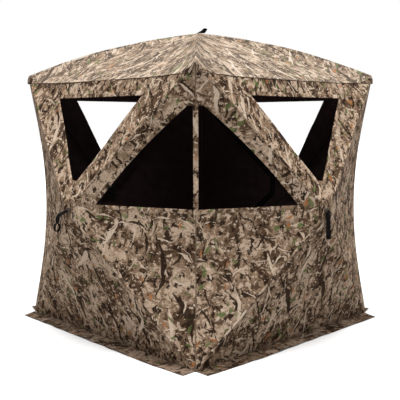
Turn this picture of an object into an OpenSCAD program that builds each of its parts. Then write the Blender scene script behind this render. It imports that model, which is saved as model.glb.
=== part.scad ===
// Pop up ground blind: a square hub shelter of lined camouflage cloth.
// Five hubs, one in the middle of each wall and one in the roof, each press four poles into the corners
// and pull the cloth tight. Pushing a hub through the plane of its corners folds that side inwards.
// Origin: middle of the footprint, on the ground. +Z is up, the front wall faces -Y.

/* [Shelter] */
// Width and depth of the footprint between the wall corners
footprint = 1500; // [1300:10:1800]
// Height of the four roof corners
corner_h = 1500; // [1350:10:1700]
// How far a wall hub stands out from the plane of its four corners
wall_pop = 220; // [190:5:260]
// How far the roof hub stands above the roof corners
roof_pop = 250; // [220:5:300]
// Upward bow of the roof ridges at half length
ridge_bow = 35; // [22:1:45]
// How far a corner edge is drawn in at half height, along each axis
edge_draw = 64; // [40:2:80]
// How far the eave dips below the roof corners
eave_dip = 55; // [30:1:65]
// How far the eave is drawn in at half length
eave_draw = 20; // [5:1:30]

/* [Cloth] */
// Thickness of the lined cloth
cloth_t = 1.5; // [1:0.1:2.5]
// Half size of the square cloth patch at a hub
patch_half = 50; // [48:1:56]
// Gap between neighbouring pieces that are sewn together
seam_gap = 0.3; // [0.2:0.05:0.5]
// Width of the ground skirt
skirt_w = 100; // [80:5:140]
// How far the slanted skirt ends run in at the outer edge
skirt_inset = 33; // [10:1:60]

/* [Windows] */
// Width of the window under each eave, along its top edge
eave_win_w = 770; // [600:10:820]
// Height of the window under each eave
eave_win_h = 476; // [380:2:490]
// Cloth left between the eave and the window below it
eave_win_drop = 89; // [70:1:120]
// Height of the corner window's sill above the hubs
corner_win_sill = 40; // [30:1:70]
// Length of the corner window's sill on each wall
corner_win_w = 582; // [450:2:590]
// Height of the corner window at the corner
corner_win_h = 510; // [380:5:520]
// Width of the corner window's cut-off top on each wall
corner_win_top = 60; // [40:1:90]
// Width of the strap that crosses the corner window
corner_strap_w = 25; // [20:1:40]
// Thickness of the strap that crosses the corner window
corner_strap_t = 2; // [1.5:0.1:3]

/* [Corners] */
// Length of a corner cap along the eaves
cap_w = 95; // [70:1:130]
// Height of a corner cap on the walls
cap_h = 47; // [30:1:60]
// Thickness of a corner cap
cap_t = 1.2; // [0.8:0.1:2]
// Wall of a pole pocket
pocket_wall = 1.6; // [1:0.1:3]
// Gap between a pole tip and its pocket
pocket_fit = 0.4; // [0.3:0.05:0.8]
// Length of pocket that grips the pole tip
pocket_grip = 28; // [20:1:40]
// Free depth of a pocket beyond the pole tip
pocket_free = 24; // [22:1:30]

/* [Hubs] */
// Radius of a hub
hub_r = 46; // [42:1:47]
// Depth of a hub
hub_depth = 34; // [31:1:45]
// Distance of a pole pin from the hub's middle
pin_r = 34; // [30:0.5:36]
// Depth of the pole pins below the hub's top
pin_depth = 20; // [18:0.5:22]
// Diameter of a pole pin
pin_d = 6; // [4:0.5:7]
// Length of a pole pin
pin_len = 46; // [36:1:48]
// Width of a pole slot
slot_w = 15; // [14.6:0.1:17]
// Cloth side wall left over a pole slot
slot_roof = 4; // [3:0.5:5]
// Diameter of the hub bolt
bolt_d = 8; // [5:0.5:10]
// Diameter of the hub bolt's head
bolt_head_d = 18; // [14:1:22]
// Height of the hub bolt's head
bolt_head_h = 5; // [3:0.5:8]
// Radial play of pins and bolts in their bores
pin_play = 0.05; // [0.03:0.01:0.1]

/* [Poles] */
// Diameter of a pole rod
rod_d = 10; // [8:0.5:11]
// Diameter of a pole's end fittings
fitting_d = 14; // [13:0.2:14.2]
// Length of the ferrule at the hub end
ferrule_len = 70; // [50:1:90]
// Length of the cap at the corner end
tip_len = 45; // [35:1:60]
// Length of rod inside each fitting
rod_seat = 30; // [15:1:32]
// Play of the rod in its fittings
rod_play = 0.3; // [0.2:0.05:0.5]
// Width of the eye on the pin
eye_w = 12; // [8:0.5:14]
// Distance from a pole's tip to its corner, in the plane of the corners
tip_back = 75; // [65:1:100]
// Depth of a wall pole's tip below the cloth ridge
wall_tip_drop = 16; // [14:0.5:24]
// Depth of a roof pole's tip below the cloth ridge
roof_tip_drop = 24; // [20:0.5:30]
// Depth of a roof pole's rod below the cloth ridge at half length
roof_rod_drop = 16; // [12:0.5:24]

/* [Pull straps] */
// Width of the webbing
strap_w = 24; // [18:1:28]
// Thickness of the doubled webbing
strap_t = 4; // [3:0.2:5]
// Length of a wall strap from its bar to its loop
strap_len = 116; // [80:1:140]
// Angle at which the front and back straps stand out from their walls
strap_lift = 40; // [0:1:70]
// Length of the roof strap from its bar to its loop
roof_strap_len = 5; // [4:1:40]
// Outer radius of the hand loop
loop_r = 17; // [14:0.5:24]
// Thickness of the webbing in the hand loop
loop_t = 2; // [1.5:0.1:3]
// Diameter of the strap bar
bar_d = 6; // [5:0.5:8]
// Width of the strap plate
plate_w = 40; // [38:1:50]
// Height of the strap plate
plate_h = 30; // [24:1:40]
// Thickness of the strap plate
plate_t = 4; // [3:0.5:6]
// Corner radius of the strap plate
plate_round = 6; // [3:0.5:8]
// Height of the bar above the strap plate
bar_lift = 6; // [5.8:0.1:8]
// Thickness of the ears that hold the bar
ear_t = 4; // [3:0.5:5]

/* [Door] */
// Distance from the corner edge to the door's sewn edge, along the cloth
door_near = 100; // [95:1:140]
// Distance from the corner edge to the door's hub end, along the cloth
door_far = 608; // [520:1:620]
// Half height of the doorway at the sewn edge
door_near_h = 549; // [450:1:560]
// Half height of the doorway at the hub end
door_far_h = 64; // [50:1:72]
// Width of the zip tape
zip_w = 22; // [18:1:28]
// Width of a zip slider
slider_w = 12; // [8:1:14]
// Length of a zip slider
slider_len = 18; // [14:1:24]
// Height of a zip slider
slider_h = 6; // [4.5:0.5:8]
// Length of a slider's pull tab
tab_len = 34; // [24:1:45]
// Distance from the tape's hub end to a closed slider
slider_start = 34; // [28:1:60]

/* [Stake eyelets] */
// Bore of a stake eyelet
eyelet_bore = 10; // [6:0.5:14]
// Wall of an eyelet's barrel
eyelet_wall = 1; // [0.8:0.1:1.5]
// Diameter of an eyelet's flange
eyelet_flange_d = 20; // [18:1:28]
// Thickness of an eyelet's flange
eyelet_flange_t = 1.2; // [0.8:0.1:2]
// Distance of an eyelet from the end of the wall
eyelet_end = 110; // [80:5:300]

/* [Hidden] */
$fn = 48;
half = footprint / 2;
hub_z = corner_h / 2;
side_names = ["front", "right", "back", "left"];
hub_names = ["front", "right", "back", "left", "roof"];
wall_corners = ["upper_right", "upper_left", "lower_left", "lower_right"];
roof_corners = ["back_right", "back_left", "front_left", "front_right"];
zip_names = ["upper", "lower"];
roof_index = 4;

// Colours of the cloth and the fittings
taupe = [0.45, 0.39, 0.33];
dark_taupe = [0.36, 0.31, 0.26];
black = [0.07, 0.07, 0.07];
grey = [0.45, 0.45, 0.46];

// A wall's cloth pyramid would come to its point here, above the flat hub patch
patch_share = patch_half / half;
wall_apex = wall_pop / (1 - patch_share);
// Gap that keeps the cloth edges of two sides apart at a corner
edge_gap = cloth_t + seam_gap;
ground_gap = cloth_t + seam_gap;
// Steps along one edge of a cloth piece, and from the hub to the eave on the bowed roof
edge_steps = 14;
roof_rings = 6;
// How sharply the eave rises to the corners, and how evenly the corner edges are drawn in
eave_power = 8;
draw_power = 1.3;
// Share of the ridge bow that the roof has between its ridges
bow_between = 0.3;

function pop_of(k) = k == roof_index ? roof_pop : wall_pop;
function rise_of(k) = k == roof_index ? half : hub_z;
function reach_of(k) = norm([half, rise_of(k)]);
function fan_of(k) = atan2(rise_of(k), half);
function corner_name(k, c) = k == roof_index ? roof_corners[c] : wall_corners[c];
function corner_angle(k, c) = [fan_of(k), 180 - fan_of(k), 180 + fan_of(k), -fan_of(k)][c];

// Height of the cloth ridge above the plane of the corners, at a distance from the hub's middle
function bow_of(k) = k == roof_index ? ridge_bow : 0;
function past_patch(k, d) = (d / reach_of(k) - patch_share) / (1 - patch_share);
function ridge_at(k, d) =
    let (m = past_patch(k, d))
    pop_of(k) * (1 - m) + 4 * bow_of(k) * m * (1 - m);

// The hub's top lies just under the cloth patch, and the poles run from its pins to the corners
function hub_top(k) = pop_of(k) - cloth_t - seam_gap;
function pin_at(k) = hub_top(k) - pin_depth;
function tip_d(k) = reach_of(k) - tip_back;
function tip_drop_of(k) = k == roof_index ? roof_tip_drop : wall_tip_drop;
function tip_at(k) = ridge_at(k, tip_d(k)) - tip_drop_of(k);
function tilt_of(k) = atan2(pin_at(k) - tip_at(k), tip_d(k) - pin_r);
function pole_len(k) = norm([tip_d(k) - pin_r, pin_at(k) - tip_at(k)]);
function pole_mid_d(k) = (pin_r + tip_d(k)) / 2;
function pole_bow(k) =
    k == roof_index ? ridge_at(k, pole_mid_d(k)) - roof_rod_drop - (pin_at(k) + tip_at(k)) / 2 : 0;

// How far a corner edge is drawn in, at a share from -1 at the ground to 1 at the eave
function drawn(share, draw) = draw * pow(max(0, 1 - share * share), draw_power);
function dip_at(share) = eave_dip * (1 - pow(abs(share), eave_power));
function eave_in(share) = eave_draw * (1 - share * share);
// Shares along an edge, closer together towards both ends
function spread(i) = sin(90 * (2 * i / edge_steps - 1));

// Edges of a wall in its own frame: x along the wall, y up from the hub, z outwards.
// Each runs anticlockwise as seen from outside.
function wall_edge(name, draws) =
    name == "right" ? [for (i = [0:edge_steps]) side_point(spread(i), 1, draws[1])] :
    name == "left" ? [for (i = [0:edge_steps]) side_point(-spread(i), -1, draws[0])] :
    name == "top" ? [for (i = [0:edge_steps]) top_point(-spread(i))] :
    [for (i = [0:edge_steps]) bottom_point(spread(i))];
function side_point(share, way, draw) = [
    way * (half - drawn(share, draw) - edge_gap),
    share > 0 ? share * (hub_z - edge_gap) : share * (hub_z - ground_gap),
    wall_apex * edge_gap / half - drawn(share, draw)
];
function top_point(share) = [
    share * (half - edge_gap),
    hub_z - dip_at(share) - edge_gap - seam_gap,
    -eave_in(share)
];
function bottom_point(share) = [share * (half - edge_gap), ground_gap - hub_z, 0];
function gore_way(name) =
    name == "right" ? [1, 0, 0] : name == "left" ? [-1, 0, 0] : name == "top" ? [0, 1, 0] : [0, -1, 0];
// Edge of the hub patch that a gore starts from
patch_rise = patch_half * hub_z / half;
function patch_edge(name) = [
    for (i = [0:edge_steps])
        let (way = gore_way(name))
        let (along = spread(i) * [-way[1], way[0], 0])
        [(way + along)[0] * patch_half, (way + along)[1] * patch_rise, wall_pop]
];

// One eave of the roof, in plan from the middle of the roof, z up from the corners
function roof_edge(share) = [share * half, eave_in(share) - half, -dip_at(share)];
function roof_point(share, m) =
    let (start = [share * patch_half, -patch_half, roof_pop])
    let (bow = 4 * ridge_bow * m * (1 - m) * (bow_between + (1 - bow_between) * share * share))
    start + (roof_edge(share) - start) * m + [0, 0, bow];

// Faces of a sheet whose points are n rows of k on the outside and as many on the inside
function both_halves(q) = [[q[0], q[1], q[2]], [q[0], q[2], q[3]]];
function sheet_quads(n, k) = concat(
    [for (i = [0:n - 2], j = [0:k - 2]) [i * k + j, (i + 1) * k + j, (i + 1) * k + j + 1, i * k + j + 1]],
    [for (i = [0:n - 2], j = [0:k - 2])
        [n * k + i * k + j, n * k + i * k + j + 1, n * k + (i + 1) * k + j + 1, n * k + (i + 1) * k + j]],
    [for (i = [0:n - 2]) [(i + 1) * k, i * k, n * k + i * k, n * k + (i + 1) * k]],
    [for (i = [0:n - 2])
        [i * k + k - 1, (i + 1) * k + k - 1, n * k + (i + 1) * k + k - 1, n * k + i * k + k - 1]],
    [for (j = [0:k - 2])
        [(n - 1) * k + j + 1, (n - 1) * k + j, n * k + (n - 1) * k + j, n * k + (n - 1) * k + j + 1]],
    [for (j = [0:k - 2]) [j, j + 1, n * k + j + 1, n * k + j]]
);

// A closed sheet through rows of points, made thick along one direction
module sheet(rows, back) {
    outside = [for (row = rows) for (p = row) p];
    inside = [for (p = outside) p + back];
    quads = sheet_quads(len(rows), len(rows[0]));
    polyhedron(concat(outside, inside), [for (q = quads) for (t = both_halves(q)) t]);
}

// Frames of the hubs: x and y in the plane of the corners, z outwards
module at_side(k) {
    rotate([0, 0, 90 * k]) translate([0, -half, hub_z]) rotate([90, 0, 0]) children();
}
module at_hub(k) {
    if (k == roof_index) {
        translate([0, 0, corner_h]) children();
    } else {
        at_side(k) children();
    }
}
module at_pole(k, c) {
    rotate([0, 0, corner_angle(k, c)])
        translate([pin_r, 0, pin_at(k)])
            rotate([0, tilt_of(k), 0])
                children();
}
// The door gore is flat. This frame lies in it, with x from the corner edge and z out of the cloth.
door_slope = atan2(wall_apex, half);
door_side = 2;
module at_door() {
    at_side(door_side) translate([half, 0, 0]) rotate([0, door_slope, 0]) children();
}

// Cloth of the walls
wall_draws = [[edge_draw, edge_draw], [edge_draw, edge_draw], [edge_draw, 0], [0, edge_draw]];
cut_depth = 2 * (wall_pop + edge_draw);

module gore(name, draws) {
    outer = wall_edge(name, draws);
    inner = patch_edge(name);
    rows = [for (i = [0:edge_steps]) [inner[i], outer[i]]];
    translate(gore_way(name) * seam_gap) sheet(rows, [0, 0, -cloth_t]);
}

module hub_patch(k) {
    stretch = rise_of(k) / half;
    translate([0, 0, pop_of(k) - cloth_t]) linear_extrude(cloth_t) difference() {
        square([2 * patch_half, 2 * patch_half * stretch], center = true);
        circle(d = bolt_d + 2 * seam_gap);
    }
}

module eave_window() {
    top = hub_z - eave_dip - eave_win_drop;
    translate([0, 0, -cut_depth / 2]) linear_extrude(cut_depth)
        polygon([[-eave_win_w / 2, top], [0, top - eave_win_h], [eave_win_w / 2, top]]);
}

// Half of the window that goes round a corner, on the side of the wall given by way
module corner_window(way) {
    past = half + corner_win_top;
    head = corner_win_sill + corner_win_h;
    translate([0, 0, -cut_depth / 2]) linear_extrude(cut_depth)
        polygon([
            [way * past, corner_win_sill],
            [way * (half - corner_win_w), corner_win_sill],
            [way * (half - corner_win_top), head],
            [way * past, head]
        ]);
}

// Doorway outline in the door's frame, set in by a distance on its three zipped edges
function door_outline(inset, near_gap) =
    let (fall = (door_near_h - door_far_h) / (door_far - door_near))
    let (side = inset * sqrt(1 + fall * fall))
    let (near = door_near + near_gap)
    let (far = door_far - inset)
    let (near_h = door_near_h - near_gap * fall - side)
    let (far_h = door_far_h + inset * fall - side)
    [[-near, near_h], [-far, far_h], [-far, -far_h], [-near, -near_h]];

module doorway() {
    translate([0, 0, -cut_depth / 2]) linear_extrude(cut_depth) polygon(door_outline(0, 0));
}

module wall(k) {
    color(dark_taupe) {
        at_side(k) {
            difference() {
                gore("top", wall_draws[k]);
                eave_window();
            }
            gore("bottom", wall_draws[k]);
            difference() {
                gore("left", wall_draws[k]);
                if (side_names[k] == "right") corner_window(-1);
            }
            hub_patch(k);
        }
        difference() {
            at_side(k) difference() {
                gore("right", wall_draws[k]);
                if (side_names[k] == "front") corner_window(1);
            }
            if (k == door_side) at_door() doorway();
        }
    }
}

// Cloth of the roof
module roof() {
    shares = [for (i = [0:edge_steps]) spread(i)];
    rings = [for (j = [0:roof_rings]) j / roof_rings];
    color(taupe) translate([0, 0, corner_h]) {
        for (k = [0:3]) {
            rotate([0, 0, 90 * k]) translate([0, -seam_gap, 0])
                sheet([for (s = shares) [for (m = rings) roof_point(s, m)]], [0, 0, -cloth_t]);
        }
        hub_patch(roof_index);
    }
}

// Ground skirt, one strip to each wall, with holes for its eyelets
eyelet_hole_d = eyelet_bore + 2 * eyelet_wall + 2 * pin_play;
eyelet_x = half - eyelet_end;
skirt_mid = half + skirt_w / 2;

module skirt() {
    inner = half - edge_gap;
    color(dark_taupe) for (k = [0:3]) rotate([0, 0, 90 * k]) difference() {
        linear_extrude(cloth_t) polygon([
            [-inner, -half + cloth_t],
            [-half + skirt_inset, -half - skirt_w],
            [half - skirt_inset, -half - skirt_w],
            [inner, -half + cloth_t]
        ]);
        for (way = [-1, 1]) translate([way * eyelet_x, -skirt_mid, -cloth_t])
            cylinder(d = eyelet_hole_d, h = 3 * cloth_t);
    }
}

module stake_eyelets() {
    top = cloth_t + eyelet_flange_t;
    color(grey) for (k = [0:3], way = [-1, 1])
        rotate([0, 0, 90 * k]) translate([way * eyelet_x, -skirt_mid, 0]) difference() {
            union() {
                cylinder(d = eyelet_bore + 2 * eyelet_wall, h = top);
                translate([0, 0, cloth_t]) cylinder(d = eyelet_flange_d, h = eyelet_flange_t);
            }
            translate([0, 0, -top]) cylinder(d = eyelet_bore, h = 3 * top);
        }
}

// Reinforced caps over the four roof corners: two sides on the walls and one on the roof.
// The ease keeps a flat cap clear of the roof's stepped eave.
function flat_wall_at(x, y) = wall_apex * (1 - max(abs(x) / half, abs(y) / hub_z));
cap_steps = 9;
cap_ease = 1.6;
function cap_row(way, x) =
    let (top = hub_z - dip_at(x / half) - edge_gap)
    let (ridge = min(max(x * hub_z / half, top - cap_h + cap_t), top - cap_t))
    [for (y = [top - cap_h, ridge, top]) [way * x, y, flat_wall_at(x, y) + seam_gap + cap_t]];

module cap_on_wall(way) {
    step = (cap_w - edge_gap) / cap_steps;
    xs = [for (i = [0:cap_steps]) half - edge_gap - (way > 0 ? i : cap_steps - i) * step];
    sheet([for (x = xs) cap_row(way, x)], [0, 0, -cap_t]);
}

module cap_on_roof() {
    share = 1 - cap_w / half;
    lift = [0, 0, seam_gap + cap_t + cap_ease];
    front_end = roof_edge(share) + lift;
    right_end = [half - eave_in(share), -share * half, -dip_at(share)] + lift;
    inner = [share * half, -share * half, ridge_at(roof_index, share * reach_of(roof_index))] + lift;
    tip = [half, -half, 0] + lift;
    sheet([[inner, front_end], [right_end, tip]], [0, 0, -cap_t]);
}

module corner_caps() {
    color(taupe) for (k = [0:3]) {
        at_side(k) for (way = [-1, 1]) cap_on_wall(way);
        rotate([0, 0, 90 * k]) translate([0, 0, corner_h]) cap_on_roof();
    }
}

// Webbing strap down the corner that both halves of the corner window share.
// The ease keeps it clear of the walls' stepped edges where it laps over them.
strap_steps = 12;
strap_lap = 22;
strap_ease = 1.3;

module corner_strap() {
    low = corner_win_sill - strap_lap;
    high = corner_win_sill + corner_win_h + strap_lap;
    inside = seam_gap + strap_ease - edge_gap / sqrt(2);
    rows = [
        for (i = [0:strap_steps])
            let (y = low + (high - low) * i / strap_steps)
            let (out = sqrt(2) * (half - drawn(y / hub_z, edge_draw)) + inside + corner_strap_t)
            [[out, -corner_strap_w / 2, hub_z + y], [out, corner_strap_w / 2, hub_z + y]]
    ];
    color(dark_taupe) rotate([0, 0, -45])
        sheet([for (i = [len(rows) - 1:-1:0]) rows[i]], [-corner_strap_t, 0, 0]);
}

// Pockets that hold the pole tips at the corners
module pole_pocket(len) {
    bore = fitting_d + 2 * pocket_fit;
    translate([len - pocket_grip, 0, 0]) rotate([0, 90, 0]) difference() {
        cylinder(d = bore + 2 * pocket_wall, h = pocket_grip + pocket_free + pocket_wall);
        translate([0, 0, -pocket_wall]) cylinder(d = bore, h = pocket_grip + pocket_free + pocket_wall);
    }
}

module corner_pockets() {
    color(black) for (k = [0:roof_index], c = [0:3]) at_hub(k) at_pole(k, c)
        translate([pole_len(k), 0, 0]) rotate([0, tip_turn(k), 0]) pole_pocket(0);
}

// A pole in its own frame: the pin at the origin, the tip on +X, any bow towards +Z
function bow_radius(k) =
    (pow(pole_len(k) / 2, 2) + pow(pole_bow(k), 2)) / (2 * pole_bow(k));
function bow_half(k) = asin(pole_len(k) / 2 / bow_radius(k));
function arc_turn(k, along) = along / bow_radius(k) * 180 / PI;
function bowed(k) = pole_bow(k) > 0;
function ferrule_turn(k) = bowed(k) ? bow_half(k) - arc_turn(k, ferrule_len / 2) : 0;
function tip_turn(k) = bowed(k) ? bow_half(k) - arc_turn(k, tip_len / 2) : 0;

module pole_rod(k) {
    start = ferrule_len - rod_seat + rod_play;
    stop = tip_len - rod_seat + rod_play;
    if (bowed(k)) {
        begin = arc_turn(k, start);
        end = arc_turn(k, stop);
        translate([pole_len(k) / 2, 0, pole_bow(k) - bow_radius(k)])
            rotate([90, 0, 0])
                rotate([0, 0, 90 - bow_half(k) + end])
                    rotate_extrude(angle = 2 * bow_half(k) - begin - end)
                        translate([bow_radius(k), 0]) circle(d = rod_d);
    } else {
        translate([start, 0, 0]) rotate([0, 90, 0]) cylinder(d = rod_d, h = pole_len(k) - start - stop);
    }
}

module pole_ferrule(turn) {
    difference() {
        union() {
            rotate([90, 0, 0]) cylinder(d = fitting_d, h = eye_w, center = true);
            rotate([0, -turn, 0]) rotate([0, 90, 0]) intersection() {
                cylinder(d = fitting_d, h = ferrule_len);
                translate([0, 0, ferrule_len / 2]) cube([fitting_d, fitting_d, ferrule_len], center = true);
            }
        }
        rotate([90, 0, 0]) cylinder(d = pin_d + 2 * pin_play, h = 2 * fitting_d, center = true);
        rotate([0, -turn, 0]) translate([ferrule_len - rod_seat, 0, 0]) rotate([0, 90, 0])
            cylinder(d = rod_d + 2 * rod_play, h = ferrule_len);
    }
}

module pole_tip(k) {
    rim = fitting_d / 5;
    translate([pole_len(k), 0, 0]) rotate([0, tip_turn(k), 0]) translate([-tip_len, 0, 0]) rotate([0, 90, 0])
        difference() {
            union() {
                cylinder(d = fitting_d, h = tip_len - rim);
                translate([0, 0, tip_len - rim]) cylinder(d1 = fitting_d, d2 = fitting_d - 2 * rim, h = rim);
            }
            translate([0, 0, -tip_len]) cylinder(d = rod_d + 2 * rod_play, h = tip_len + rod_seat);
        }
}

module pole(k, c) {
    at_hub(k) at_pole(k, c) {
        color(grey) pole_ferrule(ferrule_turn(k));
        color(black) pole_rod(k);
        color(black) pole_tip(k);
    }
}

// Moulded hub with four slots for the poles, open to the inside
module hub(k) {
    bottom = hub_top(k) - hub_depth;
    slot_in = pin_r - fitting_d / 2 - 1;
    color(black) at_hub(k) difference() {
        translate([0, 0, bottom]) cylinder(r = hub_r, h = hub_depth);
        for (c = [0:3]) rotate([0, 0, corner_angle(k, c)]) {
            translate([slot_in, -slot_w / 2, bottom - hub_depth])
                cube([hub_r, slot_w, 2 * hub_depth - slot_roof]);
            translate([pin_r, 0, pin_at(k)]) rotate([90, 0, 0])
                cylinder(d = pin_d + 2 * pin_play, h = 4 * hub_r, center = true);
        }
        translate([0, 0, bottom - hub_depth]) cylinder(d = bolt_d + 2 * pin_play, h = 3 * hub_depth);
    }
}

// Four pole pins and the bolt that clamps the hub, the cloth patch and the strap plate
module hub_pins(k) {
    bottom = hub_top(k) - hub_depth;
    bolt_end = pop_of(k) + seam_gap + plate_t / 2;
    color(grey) at_hub(k) {
        for (c = [0:3]) rotate([0, 0, corner_angle(k, c)]) translate([pin_r, 0, pin_at(k)])
            rotate([90, 0, 0]) cylinder(d = pin_d, h = pin_len, center = true);
        translate([0, 0, bottom]) cylinder(d = bolt_d, h = bolt_end - bottom);
        translate([0, 0, bottom - bolt_head_h]) cylinder(d = bolt_head_d, h = bolt_head_h);
    }
}

// Plate outside the cloth, with the bar that carries the pull strap
function plate_top(k) = pop_of(k) + seam_gap + plate_t;
function bar_at(k) = plate_top(k) + bar_lift;
bar_span = strap_w + 2 * seam_gap + 2 * ear_t;

module rounded_square(size, r) {
    square([size[0] - 2 * r, size[1]], center = true);
    square([size[0], size[1] - 2 * r], center = true);
    for (x = [-1, 1], y = [-1, 1]) translate([x * (size[0] / 2 - r), y * (size[1] / 2 - r)]) circle(r = r);
}

module strap_plate(k) {
    ear_r = (bar_d + ear_t) / 2;
    color(black) at_hub(k) difference() {
        union() {
            translate([0, 0, plate_top(k) - plate_t]) linear_extrude(plate_t)
                rounded_square([plate_w, plate_h], plate_round);
            translate([0, 0, bar_at(k)]) rotate([0, 90, 0]) cylinder(d = bar_d, h = bar_span, center = true);
            for (way = [-1, 1]) translate([way * (bar_span - ear_t) / 2, 0, 0]) {
                translate([0, 0, bar_at(k)]) rotate([0, 90, 0]) cylinder(r = ear_r, h = ear_t, center = true);
                translate([-ear_t / 2, -ear_r, plate_top(k) - plate_t / 2])
                    cube([ear_t, 2 * ear_r, bar_lift + plate_t / 2]);
            }
        }
        translate([0, 0, plate_top(k) - 2 * plate_t])
            cylinder(d = bolt_d + 2 * pin_play, h = 1.5 * plate_t + pin_play);
    }
}

// Webbing strap with a hand loop: hanging from a side hub, drawn out at front and back, standing on the roof
module pull_strap(k) {
    eye_r = bar_d / 2 + loop_t;
    length = k == roof_index ? roof_strap_len : strap_len;
    loop_y = -length - loop_r;
    turn = k == roof_index ? -90 : k % 2 == 0 ? -strap_lift : 0;
    color(black) at_hub(k) translate([0, 0, bar_at(k)]) rotate([turn, 0, 0])
        rotate([0, 90, 0]) translate([0, 0, -strap_w / 2]) difference() {
            union() {
                cylinder(r = eye_r, h = strap_w);
                translate([-strap_t / 2, -length - loop_t / 2, 0]) cube([strap_t, length + loop_t / 2, strap_w]);
                translate([0, loop_y, 0]) difference() {
                    cylinder(r = loop_r, h = strap_w);
                    translate([0, 0, -strap_w]) cylinder(r = loop_r - loop_t, h = 3 * strap_w);
                }
            }
            translate([0, 0, -strap_w]) cylinder(d = bar_d + 2 * pin_play, h = 3 * strap_w);
        }
}

// Door panel, its zip tape and the two sliders that meet at the hub end
module door_panel() {
    color(dark_taupe) at_door() translate([0, 0, -cloth_t]) linear_extrude(cloth_t)
        polygon(door_outline(zip_w + 2 * seam_gap, 2 * edge_gap));
}

module door_zip_tape() {
    color(black) at_door() translate([0, 0, -cloth_t]) linear_extrude(cloth_t) difference() {
        polygon(door_outline(seam_gap, seam_gap));
        polygon(door_outline(zip_w + seam_gap, -zip_w));
    }
}

slope_angle = atan2(door_near_h - door_far_h, door_far - door_near);

module zip_slider(way) {
    line = door_outline(seam_gap + zip_w / 2, 0);
    start = [line[1][0], way * line[1][1]];
    run = [cos(slope_angle), way * sin(slope_angle)];
    spot = start + run * slider_start;
    bail_r = slider_h / 3;
    top = seam_gap + slider_h;
    color(grey) at_door() translate([spot[0], spot[1], 0]) rotate([0, 0, way * slope_angle]) {
        difference() {
            translate([-slider_len / 2, -slider_w / 2, seam_gap]) cube([slider_len, slider_w, slider_h]);
            translate([0, 0, top]) rotate([90, 0, 0])
                cylinder(r = 2 * slider_h / 3, h = 2 * slider_w, center = true);
        }
        translate([0, 0, top - bail_r]) rotate([90, 0, 0]) cylinder(r = bail_r / 2, h = slider_w, center = true);
        translate([-tab_len, -slider_w / 3, top + seam_gap]) cube([tab_len, 2 * slider_w / 3, bail_r / 2]);
    }
}

roof();
for (k = [0:3]) wall(k);
skirt();
stake_eyelets();
corner_caps();
corner_strap();
corner_pockets();
for (k = [0:roof_index]) {
    hub(k);
    hub_pins(k);
    strap_plate(k);
    pull_strap(k);
    for (c = [0:3])
        pole(k, c);
}
door_panel();
door_zip_tape();
for (i = [0, 1]) zip_slider(1 - 2 * i);
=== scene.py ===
"""Dresses a pop up ground blind: printed cloth, seams, webbing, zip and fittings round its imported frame."""

import math

import bmesh
import bpy
import numpy as np
from bpy.props import FloatProperty, FloatVectorProperty, PointerProperty
from mathutils import Matrix, Vector, geometry


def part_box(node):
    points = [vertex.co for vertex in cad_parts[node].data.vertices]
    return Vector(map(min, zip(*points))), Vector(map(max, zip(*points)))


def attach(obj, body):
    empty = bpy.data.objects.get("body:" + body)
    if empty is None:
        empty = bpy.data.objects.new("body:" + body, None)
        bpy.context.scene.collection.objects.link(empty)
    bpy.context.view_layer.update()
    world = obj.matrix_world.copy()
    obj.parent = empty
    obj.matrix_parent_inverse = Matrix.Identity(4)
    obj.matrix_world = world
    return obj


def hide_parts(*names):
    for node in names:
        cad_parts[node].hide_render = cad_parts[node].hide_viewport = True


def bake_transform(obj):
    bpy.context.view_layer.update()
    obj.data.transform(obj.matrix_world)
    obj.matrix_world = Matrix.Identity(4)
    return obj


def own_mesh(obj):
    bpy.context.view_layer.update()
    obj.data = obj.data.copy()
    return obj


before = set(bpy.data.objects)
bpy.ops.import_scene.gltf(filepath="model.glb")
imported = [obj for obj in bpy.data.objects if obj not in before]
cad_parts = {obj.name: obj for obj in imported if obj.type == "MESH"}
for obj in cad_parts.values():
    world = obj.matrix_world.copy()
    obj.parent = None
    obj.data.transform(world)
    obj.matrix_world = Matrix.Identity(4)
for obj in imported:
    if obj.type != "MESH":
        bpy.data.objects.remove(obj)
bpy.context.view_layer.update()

bl_info = {
    "name": "Pop up ground blind",
    "version": (1, 0, 0),
    "blender": (4, 5, 0),
    "location": "View3D > Sidebar > Blind",
    "description": "Cloth, webbing, zip and studio for a hub framed ground blind",
    "category": "Object",
}

SIDES = ("front", "right", "back", "left")
ROOF = 4
DOOR_SIDE = 2
# How evenly the corner edges are drawn in, and how sharply the eave rises to the corners
DRAW_POWER = 1.3
EAVE_POWER = 8
# Share of the ridge bow that the roof has between its ridges
BOW_BETWEEN = 0.3
SMOOTH_ANGLE = math.radians(38)
CLOTH_UV = "cloth"


def tone(red, green, blue):
    """A printed colour, given in the usual 0 to 255 steps, as linear light."""
    steps = (value / 255 for value in (red, green, blue))
    return tuple(v / 12.92 if v <= 0.04045 else ((v + 0.055) / 1.055) ** 2.4 for v in steps)


def length(name, description, default, low=0.0):
    return FloatProperty(name=name, description=description, default=default, min=low, unit="LENGTH")


def colour(name, description, default):
    return FloatVectorProperty(
        name=name, description=description, default=default, min=0, max=1, size=3, subtype="COLOR"
    )


def bearing(name, description, degrees):
    return FloatProperty(name=name, description=description, default=math.radians(degrees), subtype="ANGLE")


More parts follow.
